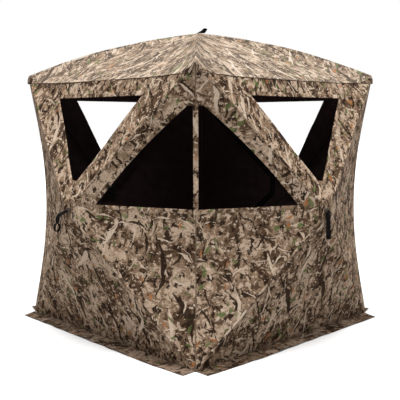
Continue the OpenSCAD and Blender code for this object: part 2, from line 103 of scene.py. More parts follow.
class BlindShape(bpy.types.PropertyGroup):
    """Sizes of the tensioned shell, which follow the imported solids."""

    footprint: length("Footprint", "Distance between two corners on the ground", 1.5)
    corner_height: length("Corner height", "Height of the roof corners", 1.5)
    wall_pop: length("Wall pop", "How far a wall hub stands out", 0.22)
    roof_pop: length("Roof pop", "How far the roof hub stands above the corners", 0.25)
    ridge_bow: length("Ridge bow", "Rise of a roof ridge above a straight line", 0.035)
    edge_draw: length("Edge draw", "How far a corner edge is drawn in at half height", 0.064)
    eave_dip: length("Eave dip", "Drop of an eave below its corners", 0.055)
    eave_draw: length("Eave draw", "How far an eave is drawn in at its middle", 0.02)
    patch_half: length("Patch half", "Half the side of the flat patch at a hub", 0.05)
    tip_back: length("Tip set back", "Distance of a pole tip from its corner", 0.075)
    skirt_width: length("Skirt width", "Width of the ground skirt", 0.1)
    skirt_inset: length("Skirt inset", "How far a skirt strip is cut back at its outer corners", 0.033)
    cap_width: length("Cap width", "Width of a corner cap along the eave", 0.095)


class BlindOpenings(bpy.types.PropertyGroup):
    """Sizes of the windows and the doorway."""

    eave_width: length("Eave window width", "Width of a window under an eave", 0.77)
    eave_height: length("Eave window height", "Height of a window under an eave", 0.476)
    eave_drop: length("Eave window drop", "Distance from the eave to the window", 0.089)
    eave_blunt: length("Eave window tip", "Width of a window's blunt lower tip", 0.044)
    corner_sill: length("Corner window sill", "Height of the corner window's sill above the hubs", 0.04)
    corner_width: length("Corner window width", "Width of each half of the corner window", 0.582)
    corner_height: length("Corner window height", "Height of the corner window", 0.51)
    corner_top: length("Corner window top", "Width of each half at the window's head", 0.06)
    corner_bow: length("Corner window bow", "How far the tension bows the window's slanting edge", 0.02)
    door_near: length("Door near edge", "Distance from the corner to the door's sewn edge", 0.1)
    door_far: length("Door far edge", "Distance from the corner to the door's hub end", 0.608)
    door_near_rise: length("Door near rise", "Half height of the doorway at its sewn edge", 0.549)
    door_far_rise: length("Door far rise", "Half height of the doorway at its hub end", 0.064)
    zip_width: length("Zip width", "Width of the zip tape", 0.022)


class BlindSewing(bpy.types.PropertyGroup):
    """Sizes of the cloth, hems, seams and webbing."""

    cloth: length("Cloth", "Thickness of the lined cloth", 0.0012)
    grid: length("Cloth grid", "Distance between the points of a cloth mesh", 0.018, 0.008)
    crease: length("Crease", "Height of the small creases in the cloth", 0.0022)
    hem: length("Hem", "Width of a window hem", 0.02)
    fell: length("Fell", "Width of a felled seam on a ridge", 0.016)
    piping: length("Piping", "Radius of the piping along an eave", 0.0022)
    binding: length("Binding", "Radius of the binding down a corner", 0.0026)
    stitch_pitch: length("Stitch pitch", "Distance between two stitches", 0.009)
    stitch_length: length("Stitch length", "Length of one stitch", 0.0055)
    stitch_width: length("Stitch width", "Thickness of the thread", 0.0009)
    webbing: length("Webbing", "Thickness of one layer of pull strap webbing", 0.0018)
    strap_width: length("Strap width", "Width of a pull strap", 0.024)
    tooth_pitch: length("Tooth pitch", "Distance between two zip teeth", 0.004)


class BlindPrint(bpy.types.PropertyGroup):
    """Colours of the cloth's print and of the fittings."""

    ground: colour("Ground", "Main tone of the print", tone(152, 131, 109))
    shade: colour("Shade", "Dark blotches of the print", tone(96, 77, 60))
    bark: colour("Bark", "Darkest marks of the print", tone(50, 38, 29))
    pale: colour("Pale", "Pale blotches of the print", tone(206, 187, 165))
    straw: colour("Straw", "Pale blades of the print", tone(224, 210, 190))
    leaf: colour("Leaf", "Green blades of the print", tone(104, 122, 72))
    ochre: colour("Ochre", "Warm leaves of the print", tone(186, 126, 76))
    lining: colour("Lining", "Inside of the cloth", tone(72, 54, 53))
    web: colour("Webbing", "Pull straps, pockets and zip tape", tone(21, 19, 19))
    thread: colour("Thread", "Stitches on the cloth", tone(84, 70, 56))
    moulding: colour("Moulding", "Hubs", tone(40, 34, 34))
    rod: colour("Rod", "Poles", tone(42, 35, 35))
    metal: colour("Metal", "Pins, eyelets and zip sliders", tone(176, 174, 170))


class BlindStage(bpy.types.PropertyGroup):
    """Place of the camera and strength of the lights."""

    turn: bearing("Turn", "Camera's turn about the blind", 46.03)
    distance: length("Distance", "Camera's distance from the middle of the blind", 4.32)
    height: length("Height", "Camera's height above the ground", 1.234)
    pitch: bearing("Pitch", "How far the camera looks down", 6.69)
    yaw: bearing("Yaw", "How far the camera looks aside", 0.045)
    lens: FloatProperty(name="Lens", description="Focal length in millimetres", default=61.89, min=10)
    overhead: FloatProperty(name="Overhead", description="Strength of the overhead light", default=4.7, min=0)
    overhead_tilt: bearing("Overhead tilt", "How far the overhead light leans to the camera", 10)
    overhead_spread: bearing("Overhead spread", "Angle over which the overhead light spreads", 50)
    front: FloatProperty(name="Front", description="Power of each front light", default=3, unit="POWER")
    ambient: FloatProperty(name="Ambient", description="Light from all round", default=0.2, min=0)


# Sizes of the hubs, pins and pole tips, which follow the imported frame
HUB_RADIUS = 0.046
PIN_RADIUS = 0.034
PIN_UNDER = 0.0218
WALL_TIP_DROP = 0.016
ROOF_TIP_DROP = 0.024
ROOF_ROD_DROP = 0.016
TIP_LENGTH = 0.045
# Share of the hub's travel that the door's frame gains with each metre from its hinge, and what comes off it
FRAME_FOLLOWS = 1.435
FRAME_UNDER = 0.009
# Distance from a hub over which the cloth comes off it and takes up the slope of the poles
CLOTH_LIFTS = 0.039
# Distance from the hub at which cloth starts to go with the door's frame, and the run over which it does so
DOOR_GORE_START = 0.09
DOOR_GORE_EASE = 0.06
# Shares of an edge between which the ruling through a point is sought, and how often that span is halved
RULING_SPAN = 1.05
RULING_HALVINGS = 36


def eased(value):
    """A smooth rise from 0 to 1, held at its ends."""
    value = np.clip(value, 0, 1)
    return value**2 * (3 - 2 * value)


class BlindForm:
    """Heights of the taut cloth over the plane of each side's corners, in metres."""

    def __init__(self, shape):
        self.half = shape.footprint / 2
        self.rise = shape.corner_height / 2
        self.wall_pop = shape.wall_pop
        self.roof_pop = shape.roof_pop
        self.bow = shape.ridge_bow
        self.dip_depth = shape.eave_dip
        self.eave_draw = shape.eave_draw
        self.patch = shape.patch_half
        self.fixed_rim = shape.tip_back / math.hypot(self.half, self.rise)
        draw = shape.edge_draw
        self.draws = {0: (draw, draw), 1: (draw, draw), 2: (draw, 0.0), 3: (0.0, draw)}

    def drawn(self, share, draw):
        return draw * np.maximum(0, 1 - share**2) ** DRAW_POWER

    def dip(self, share):
        return self.dip_depth * (1 - np.abs(share) ** EAVE_POWER)

    def eave_in(self, share):
        return self.eave_draw * (1 - share**2)

    def ruled(self, across, along, pop, edge, bow=None):
        """Height of a gore that is ruled straight from the hub patch to its outer edge."""
        low = np.full_like(across, -RULING_SPAN)
        high = np.full_like(across, RULING_SPAN)
        for _ in range(RULING_HALVINGS):
            share = (low + high) / 2
            out_across, out_along, out_height = edge(share)
            m = (along - self.patch) / (out_along - self.patch)
            beyond = share * self.patch * (1 - m) + out_across * m > across
            high = np.where(beyond, share, high)
            low = np.where(beyond, low, share)
        height = pop + (out_height - pop) * m
        if bow is not None:
            height = height + 4 * bow * m * (1 - m) * (BOW_BETWEEN + (1 - BOW_BETWEEN) * share**2)
        return np.where(along <= self.patch, pop, height)

    def top_edge(self, share):
        return share * self.half, self.rise - self.dip(share), -self.eave_in(share)

    def bottom_edge(self, share):
        return share * self.half, np.full_like(share, self.rise), np.zeros_like(share)

    def side_edge(self, draw):
        def edge(share):
            drawn = self.drawn(share, draw)
            return share * self.rise, self.half - drawn, -drawn

        return edge

    def wall_height(self, side, s, y):
        """How far the cloth of a wall stands out, at s along the wall and y above the hub."""
        left, right = self.draws[side]
        gores = [
            (y >= np.abs(s), s, y, self.top_edge),
            (s >= np.abs(y), y, s, self.side_edge(right)),
            (-s >= np.abs(y), y, -s, self.side_edge(left)),
        ]
        height = self.ruled(s, -y, self.wall_pop, self.bottom_edge)
        for chosen, across, along, edge in gores:
            height = np.where(chosen, self.ruled(across, along, self.wall_pop, edge), height)
        return height

    def roof_height(self, x, y):
        """How far the cloth of the roof stands above the corners."""

        def edge(share):
            return share * self.half, self.half - self.eave_in(share), -self.dip(share)

        sideways = np.abs(x) > np.abs(y)
        along = np.where(sideways, np.abs(x), np.abs(y))
        across = np.where(sideways, y, x)
        return self.ruled(across, along, self.roof_pop, edge, self.bow)

    def height(self, side, s, y):
        return self.roof_height(s, y) if side == ROOF else self.wall_height(side, s, y)

    def place(self, side, s, y, h):
        """Points of a side, given along, up and out, as points of the blind."""
        if side == ROOF:
            return np.stack([s, y, 2 * self.rise + h], axis=-1)
        turn = math.radians(90 * side)
        out = -self.half - h
        x = s * math.cos(turn) - out * math.sin(turn)
        back = s * math.sin(turn) + out * math.cos(turn)
        return np.stack([x, back, self.rise + y], axis=-1)

    def unplace(self, side, points):
        """The way back from points of the blind to along and up on a side."""
        if side == ROOF:
            return points[:, 0], points[:, 1]
        turn = math.radians(90 * side)
        s = points[:, 0] * math.cos(turn) + points[:, 1] * math.sin(turn)
        return s, points[:, 2] - self.rise

    def share_of_hub(self, side, points):
        """Share of its hub's travel that each point has, in step with the poles or the door's frame."""
        s, y = self.unplace(side, points)
        rise = self.half if side == ROOF else self.rise
        inwards = 1 - np.maximum(np.abs(s) / self.half, np.abs(y) / rise)
        pin = 1 - PIN_RADIUS / math.hypot(self.half, rise)
        share = np.clip((inwards - self.fixed_rim) / (pin - self.fixed_rim), 0, 1)
        if side == DOOR_SIDE:
            frame_share = FRAME_FOLLOWS * (self.half * (1 - self.fixed_rim) - s) - FRAME_UNDER
            within = eased((s - np.abs(y)) / DOOR_GORE_EASE) * eased((s - DOOR_GORE_START) / DOOR_GORE_EASE)
            share = share + (np.clip(frame_share, 0, 1) - share) * within
        loosened = eased((np.hypot(s, y) - HUB_RADIUS) / CLOTH_LIFTS)
        return 1 - (1 - share) * loosened

    def edge_at(self, side, way, y):
        """Distance along the wall of its left or right edge, at a height."""
        draw = self.draws[side][0 if way < 0 else 1]
        return way * (self.half - self.drawn(y / self.rise, draw))


def blind_form():
    return BlindForm(bpy.context.scene.blind_shape)


def ripple(u, v, waves, seed):
    """A smooth uneven field of about unit height, from a few crossing waves of a given length."""
    draw = np.random.default_rng(seed)
    total = np.zeros_like(u)
    count = 9
    for _ in range(count):
        turn = draw.uniform(0, 2 * math.pi)
        step = 2 * math.pi / (waves * draw.uniform(0.6, 1.6))
        total += np.sin(step * (u * math.cos(turn) + v * math.sin(turn)) + draw.uniform(0, 2 * math.pi))
    return total / math.sqrt(count)


# Rays in the fan of creases round a hub, and wave lengths: of the fan's drift, of the broad and the fine
# creases, and of the patches that the fine ones lie in
FAN_RAYS = 26
FAN_DRIFT = 0.5
BROAD_CREASE = 0.42
FINE_CREASE = 0.13
FINE_PATCH = 0.6
# Shares of a side over which creases fade at the rim, are still at the hub and grow from there, and the fan's
RIM_FADE = 0.07
HUB_STILL = 0.08
HUB_FADE = 0.1
FAN_START = 0.35
FAN_RUN = 0.6


def creases(form, side, s, y, crease):
    """Small unevenness of the taut cloth, still at its edges and at the hub."""
    rise = form.half if side == ROOF else form.rise
    outer = np.maximum(np.abs(s) / form.half, np.abs(y) / rise)
    still = np.clip((1 - outer) / RIM_FADE, 0, 1) * np.clip((outer - HUB_STILL) / HUB_FADE, 0, 1)
    if side == DOOR_SIDE:
        still = still * eased((np.abs(y) - s + DOOR_GORE_EASE) / (2 * DOOR_GORE_EASE))
    angle = np.arctan2(y, s)
    rays = np.sin(angle * FAN_RAYS + 1.3 * ripple(s, y, FAN_DRIFT, 40 + side))
    fan = rays * np.clip((outer - FAN_START) / FAN_RUN, 0, 1)
    broad = ripple(s, y, BROAD_CREASE, 10 + side)
    fine = ripple(s, y, FINE_CREASE, 20 + side) * np.clip(ripple(s, y, FINE_PATCH, 30 + side), 0, 1)
    return crease * still * (0.9 * broad + 0.35 * fan + 0.55 * fine)


def dense(points, step, closed=False):
    """A line or ring of points with its long stretches divided."""
    points = [np.asarray(p, float) for p in points]
    ends = points[1:] + points[:1] if closed else points[1:]
    found = []
    for a, b in zip(points, ends):
        parts = max(1, math.ceil(np.linalg.norm(b - a) / step))
        found += [a + (b - a) * i / parts for i in range(parts)]
    return np.array(found if closed else found + [points[-1]])


def inside(points, ring):
    """Which points lie inside a ring."""
    x, y = points[:, :1], points[:, 1:]
    a, b = ring, np.roll(ring, -1, axis=0)
    crosses = (a[:, 1] > y) != (b[:, 1] > y)
    span = np.where(a[:, 1] == b[:, 1], 1, b[:, 1] - a[:, 1])
    at = a[:, 0] + (y - a[:, 1]) * (b[:, 0] - a[:, 0]) / span
    return (crosses & (x < at)).sum(axis=1) % 2 == 1


def clear_of(points, starts, ends):
    """Least distance of each point from a set of straight stretches."""
    run = ends - starts
    rel = points[:, None, :] - starts[None]
    t = np.clip((rel * run).sum(-1) / np.maximum((run**2).sum(-1), 1e-12), 0, 1)
    return np.linalg.norm(rel - t[..., None] * run, axis=-1).min(axis=1)


# Share of a grid's step that its points keep clear of outlines and lines
LEAST_ROOM = 0.55


def triangulate(outline, holes, lines, step):
    """Even triangles that fill an outline, keep its holes open and follow its lines."""
    points, edges, starts, ends = [], [], [], []
    routes = [(ring, True) for ring in (outline, *holes)] + [(line, False) for line in lines]
    for route, closed in routes:
        base = len(points)
        count = len(route)
        points += list(route)
        edges += [(base + i, base + (i + 1) % count) for i in range(count if closed else count - 1)]
        following = np.roll(route, -1, axis=0)
        starts.append(route if closed else route[:-1])
        ends.append(following if closed else following[:-1])
    low, high = outline.min(axis=0), outline.max(axis=0)
    rows = np.arange(low[1], high[1], step * math.sqrt(3) / 2)
    grid = np.array([
        (x, y)
        for i, y in enumerate(rows)
        for x in np.arange(low[0] + (i % 2) * step / 2, high[0], step)
    ])
    room = clear_of(grid, np.concatenate(starts), np.concatenate(ends)) > LEAST_ROOM * step
    open_ground = room & inside(grid, outline)
    for hole in holes:
        open_ground &= ~inside(grid, hole)
    points += list(grid[open_ground])
    made = geometry.delaunay_2d_cdt([Vector(p) for p in points], edges, [], 0, 1e-6)
    flat = np.array([tuple(v) for v in made[0]])
    faces = np.array([face for face in made[2] if len(face) == 3])
    middles = flat[faces].mean(axis=1)
    kept = inside(middles, outline)
    for hole in holes:
        kept &= ~inside(middles, hole)
    return flat, faces[kept]


def new_mesh(name, points, faces, materials=(), edges=()):
    mesh = bpy.data.meshes.new(name)
    mesh.from_pydata([tuple(map(float, p)) for p in points], edges, [tuple(map(int, f)) for f in faces])
    for material in materials:
        mesh.materials.append(material)
    mesh.update()
    return mesh


def new_piece(name, mesh):
    piece = bpy.data.objects.new(name, mesh)
    bpy.context.scene.collection.objects.link(piece)
    return piece


def finished(piece):
    """Turns a piece with its modifiers into a plain smooth mesh."""
    bpy.context.view_layer.update()
    evaluated = piece.evaluated_get(bpy.context.evaluated_depsgraph_get())
    mesh = bpy.data.meshes.new_from_object(evaluated)
    old = piece.data
    piece.modifiers.clear()
    piece.data = mesh
    mesh.name = piece.name
    if isinstance(old, bpy.types.Mesh):
        bpy.data.meshes.remove(old)
    smooth(mesh)
    return piece


def smooth(mesh):
    mesh.shade_smooth()
    mesh.set_sharp_from_angle(angle=SMOOTH_ANGLE)


def set_uv(mesh, per_corner):
    layer = mesh.uv_layers.new(name=CLOTH_UV)
    layer.data.foreach_set("uv", np.asarray(per_corner, np.float32).ravel())


def thicken(piece, thickness, lined=True):
    """Gives a sheet its thickness inwards, with the lining as its second material."""
    solid = piece.modifiers.new("thickness", "SOLIDIFY")
    solid.thickness = thickness
    solid.offset = -1
    solid.use_even_offset = False
    solid.material_offset = 1 if lined else 0
    return finished(piece)


def follow_hub(piece, form, side):
    """Bakes a piece's place into its mesh and works out the share of its hub's travel that each point has
    between the fixed corners and the hub, in step with the straight poles; the shares are not put to use.
    """
    rim = Vector(form.place(side, 0.0, 0.0, 0.0))
    top = Vector(form.place(side, 0.0, 0.0, form.roof_pop))
    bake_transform(piece)
    # Shares of the hub's travel, from the poles and the door's frame
    points = np.zeros(len(piece.data.vertices) * 3, np.float32)
    piece.data.vertices.foreach_get("co", points)
    share = form.share_of_hub(side, points.reshape(-1, 3).astype(float))
    return piece


# How strongly a printed blade curves, for its reach
BLADE_CURVE = 0.18


class Finish:
    """A material in the making, with short calls for its nodes."""

    def __init__(self, name, roughness=0.6, specular=0.5, metallic=0.0):
        self.material = bpy.data.materials.new(name)
        self.material.use_nodes = True
        self.tree = self.material.node_tree
        self.shader = self.tree.nodes["Principled BSDF"]
        constants = {
            "Roughness": roughness,
            "Specular IOR Level": specular,
            "Metallic": metallic,
        }
        for socket, value in constants.items():
            self.shader.inputs[socket].default_value = value

    def feed(self, socket, value):
        if isinstance(value, bpy.types.NodeSocket):
            self.tree.links.new(value, socket)
        elif hasattr(value, "__len__") and len(value) == 3 and socket.type == "RGBA":
            socket.default_value = (*value, 1)
        else:
            socket.default_value = value

    def node(self, kind, inputs=(), **settings):
        made = self.tree.nodes.new(kind)
        for key, value in settings.items():
            setattr(made, key, value)
        for key, value in dict(inputs).items():
            self.feed(made.inputs[key], value)
        return made

    def math(self, operation, *values):
        made = self.node("ShaderNodeMath", enumerate(values), operation=operation)
        return made.outputs[0]

    def vector(self, operation, *values):
        made = self.node("ShaderNodeVectorMath", operation=operation)
        if operation == "SCALE":
            self.feed(made.inputs[0], values[0])
            self.feed(made.inputs["Scale"], values[1])
        else:
            for i, value in enumerate(values):
                self.feed(made.inputs[i], value)
        return made.outputs[0]

    def parts(self, vector):
        made = self.node("ShaderNodeSeparateXYZ", {0: vector})
        return made.outputs[0], made.outputs[1], made.outputs[2]

    def scaled(self, vector, x, y, z=1.0):
        return self.vector("MULTIPLY", vector, (x, y, z))

    def noise(self, vector, scale, detail=2.0, roughness=0.5):
        inputs = {"Vector": vector, "Scale": scale, "Detail": detail, "Roughness": roughness}
        return self.node("ShaderNodeTexNoise", inputs).outputs["Fac"]

    def ramp(self, factor, low, high, to_low=0.0, to_high=1.0):
        """A value taken from one span to another and held at its ends."""
        inputs = {0: factor, 1: low, 2: high, 3: to_low, 4: to_high}
        return self.node("ShaderNodeMapRange", inputs, clamp=True).outputs[0]

    def crisp(self, value, level, soft):
        """A patch where a value is over a level, or under it where the softness is negative."""
        return self.ramp(value, level - soft, level + soft)

    def mix(self, factor, a, b, blend="MIX"):
        made = self.node("ShaderNodeMix", data_type="RGBA", blend_type=blend)
        for index, value in ((0, factor), (6, a), (7, b)):
            self.feed(made.inputs[index], value)
        return made.outputs[2]

    def bump(self, height, distance, strength=1.0, over=None):
        made = self.node("ShaderNodeBump", {"Height": height, "Distance": distance, "Strength": strength})
        if over is not None:
            self.feed(made.inputs["Normal"], over)
        return made.outputs["Normal"]

    def surface(self, uv=None):
        """Coordinates on the piece: its own cloth map where it has one, or its place."""
        if uv:
            return self.node("ShaderNodeUVMap", uv_map=uv).outputs["UV"]
        return self.node("ShaderNodeTexCoord").outputs["Object"]

    def done(self, colour, roughness=None, normal=None):
        self.feed(self.shader.inputs["Base Color"], colour)
        if roughness is not None:
            self.feed(self.shader.inputs["Roughness"], roughness)
        if normal is not None:
            self.feed(self.shader.inputs["Normal"], normal)
        return self.material

    def weave(self, at, pitch):
        """Height of a plain weave of the given thread distance."""
        u, v, _ = self.parts(at)
        turn = 2 * math.pi / pitch
        over = self.math("SINE", self.math("MULTIPLY", u, turn))
        under = self.math("SINE", self.math("MULTIPLY", v, turn))
        return self.math("MULTIPLY", over, under)

    def blades(self, at, cell, reach, width, lean, spread, seed, share=1.0):
        """Scattered tapering marks, one to a cell at most: where they are, and their middle line."""
        moved = self.vector("ADD", at, (seed * 3.17, seed * 1.31, 0.0))
        inputs = {"Vector": moved, "Scale": 1 / cell}
        cells = self.node("ShaderNodeTexVoronoi", inputs, voronoi_dimensions="2D", feature="F1")
        draw_turn, draw_width, draw = self.parts(cells.outputs["Color"])
        offset = self.vector("SUBTRACT", moved, cells.outputs["Position"])
        turn = self.math("MULTIPLY_ADD", self.math("SUBTRACT", draw_turn, 0.5), spread, lean)
        spin = {"Vector": offset, "Angle": turn}
        rotated = self.node("ShaderNodeVectorRotate", spin, rotation_type="Z_AXIS")
        along, across, _ = self.parts(rotated.outputs[0])
        curve = self.math("MULTIPLY", self.math("POWER", along, 2.0), BLADE_CURVE / reach)
        bent = self.math("ADD", across, curve)
        taper = self.math("SUBTRACT", 1.0, self.math("POWER", self.math("DIVIDE", along, reach), 2.0))
        body = self.math("MULTIPLY", taper, self.math("MULTIPLY_ADD", draw_width, width, width * 0.5))
        room = self.math("SUBTRACT", body, self.math("ABSOLUTE", bent))
        mark = self.ramp(room, 0.0, width * 0.16)
        chosen = self.math("LESS_THAN", draw, share)
        vein = self.ramp(self.math("ABSOLUTE", bent), 0.0, width * 0.22, 1.0, 0.0)
        return self.math("MULTIPLY", mark, chosen), vein


# Distance between two threads of the cloth
THREAD_PITCH = 0.0016


def printed_cloth(name, tint, painted_sheen):
    """Matt woven cloth with a loose print of ragged flakes, reeds, blades and plain oval leaves, multiplied
    by a tint, with a share of straw mixed over it that is painted sheen.
    """
    inks = bpy.context.scene.blind_print
    bark, shade, ground = tuple(inks.bark), tuple(inks.shade), tuple(inks.ground)
    pale, straw = tuple(inks.pale), tuple(inks.straw)
    cloth = Finish(name, roughness=0.9, specular=0.05)
    at = cloth.surface(CLOTH_UV)
    warp = cloth.node("ShaderNodeTexNoise", {"Vector": at, "Scale": 11.0, "Detail": 4.0}).outputs["Color"]
    drift = cloth.vector("SCALE", cloth.vector("SUBTRACT", warp, (0.5, 0.5, 0.5)), 0.06)
    loose = cloth.vector("ADD", at, drift)
    broad = cloth.noise(loose, 6.5, 5.0, 0.6)
    flakes = cloth.noise(cloth.scaled(loose, 30.0, 19.0), 1.0, 4.0, 0.58)
    chips = cloth.noise(cloth.scaled(loose, 47.0, 70.0), 1.0, 3.0, 0.55)
    paint = cloth.mix(cloth.crisp(broad, 0.46, -0.02), ground, shade)
    # Flakes, from the broad to the small
    for field, level, soft, ink, strength in (
        (broad, 0.56, 0.02, pale, 0.9),
        (flakes, 0.435, -0.012, bark, 0.95),
        (flakes, 0.58, 0.012, pale, 0.95),
        (chips, 0.4, -0.012, bark, 0.7),
        (chips, 0.61, 0.012, straw, 0.85),
    ):
        paint = cloth.mix(cloth.math("MULTIPLY", cloth.crisp(field, level, soft), strength), paint, ink)
    # Reeds and blades of grass, in metres and radians
    for cell, reach, width, lean, spread, seed, share, ink, strength in (
        (0.30, 0.15, 0.012, 1.35, 0.9, 1, 0.7, bark, 0.95),
        (0.24, 0.12, 0.009, 1.85, 1.2, 2, 0.6, straw, 0.9),
        (0.13, 0.062, 0.0054, 1.2, 2.6, 3, 0.7, bark, 0.95),
        (0.105, 0.05, 0.0042, 0.9, 2.8, 4, 0.6, straw, 0.9),
        (0.06, 0.028, 0.0034, 1.57, 1.6, 5, 0.5, bark, 0.9),
    ):
        mark = cloth.blades(loose, cell, reach, width, lean, spread, seed, share)[0]
        paint = cloth.mix(cloth.math("MULTIPLY", mark, strength), paint, ink)
    patches = cloth.ramp(cloth.noise(at, 3.2, 2.0), 0.46, 0.56)
    # Oval leaves with a middle vein, which lie in patches
    for cell, reach, width, seed, share, ink in (
        (0.055, 0.021, 0.0085, 11, 0.4, tuple(inks.leaf)),
        (0.061, 0.020, 0.008, 12, 0.22, tuple(inks.ochre)),
        (0.066, 0.022, 0.009, 13, 0.4, pale),
        (0.058, 0.020, 0.008, 14, 0.4, shade),
    ):
        mark, vein = cloth.blades(loose, cell, reach, width, 0.6, 6.0, seed, share)
        mark = cloth.math("MULTIPLY", mark, patches)
        paint = cloth.mix(cloth.math("MULTIPLY", mark, 0.85), paint, ink)
        paint = cloth.mix(cloth.math("MULTIPLY", cloth.math("MULTIPLY", mark, vein), 0.5), paint, bark)
    speck = cloth.noise(at, 120.0, 3.0, 0.65)
    paint = cloth.mix(cloth.ramp(speck, 0.35, 0.65, 0.0, 0.3), paint, shade, "MULTIPLY")
    # A share of straw mixed over the whole print: painted sheen
    paint = cloth.mix(painted_sheen, paint, straw)
    paint = cloth.mix(1.0, paint, tint, "MULTIPLY")
    weave = cloth.weave(at, THREAD_PITCH)
    slub = cloth.noise(cloth.scaled(at, 260.0, 1400.0), 1.0, 2.0)
    normal = cloth.bump(weave, 0.00012, 0.6)
    normal = cloth.bump(cloth.noise(at, 22.0, 4.0), 0.0016, 0.5, normal)
    rough = cloth.ramp(slub, 0.3, 0.7, 0.82, 0.94)
    return cloth.done(paint, rough, normal)


def coated_lining():
    """Dark coating on the inside of the cloth."""
    inks = bpy.context.scene.blind_print
    lining = Finish("dark_lining", roughness=0.8, specular=0.12)
    at = lining.surface(CLOTH_UV)
    cloud = lining.noise(at, 14.0, 5.0)
    paint = lining.mix(lining.ramp(cloud, 0.3, 0.7, 0.0, 0.5), tuple(inks.lining), tone(40, 29, 29))
    normal = lining.bump(lining.weave(at, THREAD_PITCH), 0.0001, 0.6)
    return lining.done(paint, lining.ramp(cloud, 0.3, 0.7, 0.72, 0.88), normal)


def woven_webbing(name, ink, rib):
    """Ribbed polyester webbing, whose map runs across and along the strap."""
    web = Finish(name, roughness=0.9, specular=0.01)
    at = web.surface(CLOTH_UV)
    u, v, _ = web.parts(at)
    ribs = web.math("SINE", web.math("MULTIPLY", v, 2 * math.pi / rib))
    cords = web.math("SINE", web.math("MULTIPLY", u, 2 * math.pi / (rib * 1.6)))
    height = web.math("ADD", ribs, web.math("MULTIPLY", cords, 0.6))
    fuzz = web.noise(at, 900.0, 3.0)
    # Rib tops paler and grooves darker, after the bump's height: painted shade; the paler fuzz is the fibres'
    # own tone
    lit_ribs_and_fuzz = tuple(min(1.0, 1.5 * c + 0.002) for c in ink)
    paint = web.mix(web.ramp(height, -1.2, 1.4, 0.0, 0.7), tuple(ink), lit_ribs_and_fuzz)
    paint = web.mix(web.ramp(fuzz, 0.55, 0.75, 0.0, 0.35), paint, lit_ribs_and_fuzz)
    return web.done(paint, web.ramp(fuzz, 0.3, 0.7, 0.84, 0.96), web.bump(height, 0.00025, 0.7))


def sewing_thread(name, ink, paler):
    """Twisted polyester thread."""
    thread = Finish(name, roughness=0.6, specular=0.2)
    twist = thread.noise(thread.scaled(thread.surface(), 900.0, 900.0, 900.0), 1.0, 2.0)
    paint = thread.mix(twist, tuple(ink), tuple(paler))
    return thread.done(paint, thread.ramp(twist, 0.3, 0.7, 0.5, 0.75))


def moulded_plastic(name, ink):
    """Satin moulded plastic with a fine spark texture and rubbed spots."""
    plastic = Finish(name, roughness=0.5, specular=0.15)
    at = plastic.surface()
    grain = plastic.noise(at, 1800.0, 2.0)
    rubbed = plastic.noise(at, 60.0, 5.0, 0.7)
    paler = tuple(min(1.0, 1.5 * c + 0.01) for c in ink)
    paint = plastic.mix(plastic.ramp(rubbed, 0.5, 0.75, 0.0, 0.6), tuple(ink), paler)
    return plastic.done(paint, plastic.ramp(rubbed, 0.35, 0.7, 0.38, 0.58), plastic.bump(grain, 0.0001, 0.4))


def wrapped_rod():
    """Resin bonded glass fibre, with faint threads in the resin."""
    inks = bpy.context.scene.blind_print
    rod = Finish("glass_fibre_rod", roughness=0.5, specular=0.12)
    at = rod.surface()
    fibre = rod.noise(at, 420.0, 4.0, 0.7)
    paler = tuple(2.2 * c for c in inks.rod)
    paint = rod.mix(rod.ramp(fibre, 0.4, 0.7, 0.0, 0.7), tuple(inks.rod), paler)
    return rod.done(paint, rod.ramp(fibre, 0.3, 0.7, 0.46, 0.62), rod.bump(fibre, 0.0001, 0.3))


def plated_metal(name, ink):
    """Plated metal with fine scratches and dull patches."""
    metal = Finish(name, roughness=0.32, metallic=1.0)
    at = metal.surface()
    scratch = metal.noise(metal.scaled(at, 1200.0, 60.0, 900.0), 1.0, 3.0)
    dull = metal.noise(at, 130.0, 4.0)
    darker = tuple(0.55 * c for c in ink)
    paint = metal.mix(metal.ramp(dull, 0.45, 0.7, 0.0, 0.6), tuple(ink), darker)
    return metal.done(paint, metal.ramp(dull, 0.35, 0.7, 0.24, 0.5), metal.bump(scratch, 0.00005, 0.3))


MAKERS = {
    "wall_print": lambda: printed_cloth("wall_print", (1.0, 0.92, 0.88), 0.0),
    # The roof's copy has a paler tint and a straw glaze: painted sheen from the overhead light
    "roof_print_painted_sheen": lambda: printed_cloth("roof_print_painted_sheen", (1.0, 0.97, 0.98), 0.1),
    # The hood's copy is darkened: painted shade on the cap falls under the roof's rim
    "hood_print_painted_shade": lambda: printed_cloth("hood_print_painted_shade", (0.68, 0.63, 0.6), 0.0),
    "skirt_print": lambda: printed_cloth("skirt_print", (0.45, 0.4, 0.38), 0.0),
    "bound_edge": lambda: woven_webbing("bound_edge", tone(112, 96, 80), 0.0014),
    "dark_lining": coated_lining,
    "ribbed_webbing": lambda: woven_webbing("ribbed_webbing", bpy.context.scene.blind_print.web, 0.0022),
    "sewing_thread": lambda: sewing_thread(
        "sewing_thread", bpy.context.scene.blind_print.thread, bpy.context.scene.blind_print.pale
    ),
    "black_thread": lambda: sewing_thread("black_thread", tone(24, 22, 22), tone(52, 48, 47)),
    # A real piping, whose dark tone is partly painted shade of the seams along the eaves and of the fold at
    # the wall's foot
    "dark_piping_painted_shade": lambda: woven_webbing("dark_piping_painted_shade", tone(78, 64, 52), 0.0014),
    "hub_moulding": lambda: moulded_plastic("hub_moulding", bpy.context.scene.blind_print.moulding),
    "plate_moulding": lambda: moulded_plastic("plate_moulding", tone(84, 72, 60)),
    "glass_fibre_rod": wrapped_rod,
    "plated_steel": lambda: plated_metal("plated_steel", bpy.context.scene.blind_print.metal),
    "eyelet_brass": lambda: plated_metal("eyelet_brass", tone(150, 132, 98)),
    "dulled_zip": lambda: plated_metal("dulled_zip", tone(70, 68, 66)),
}


def finish_of(name):
    """The material of that name, made once."""
    return bpy.data.materials.get(name) or MAKERS[name]()


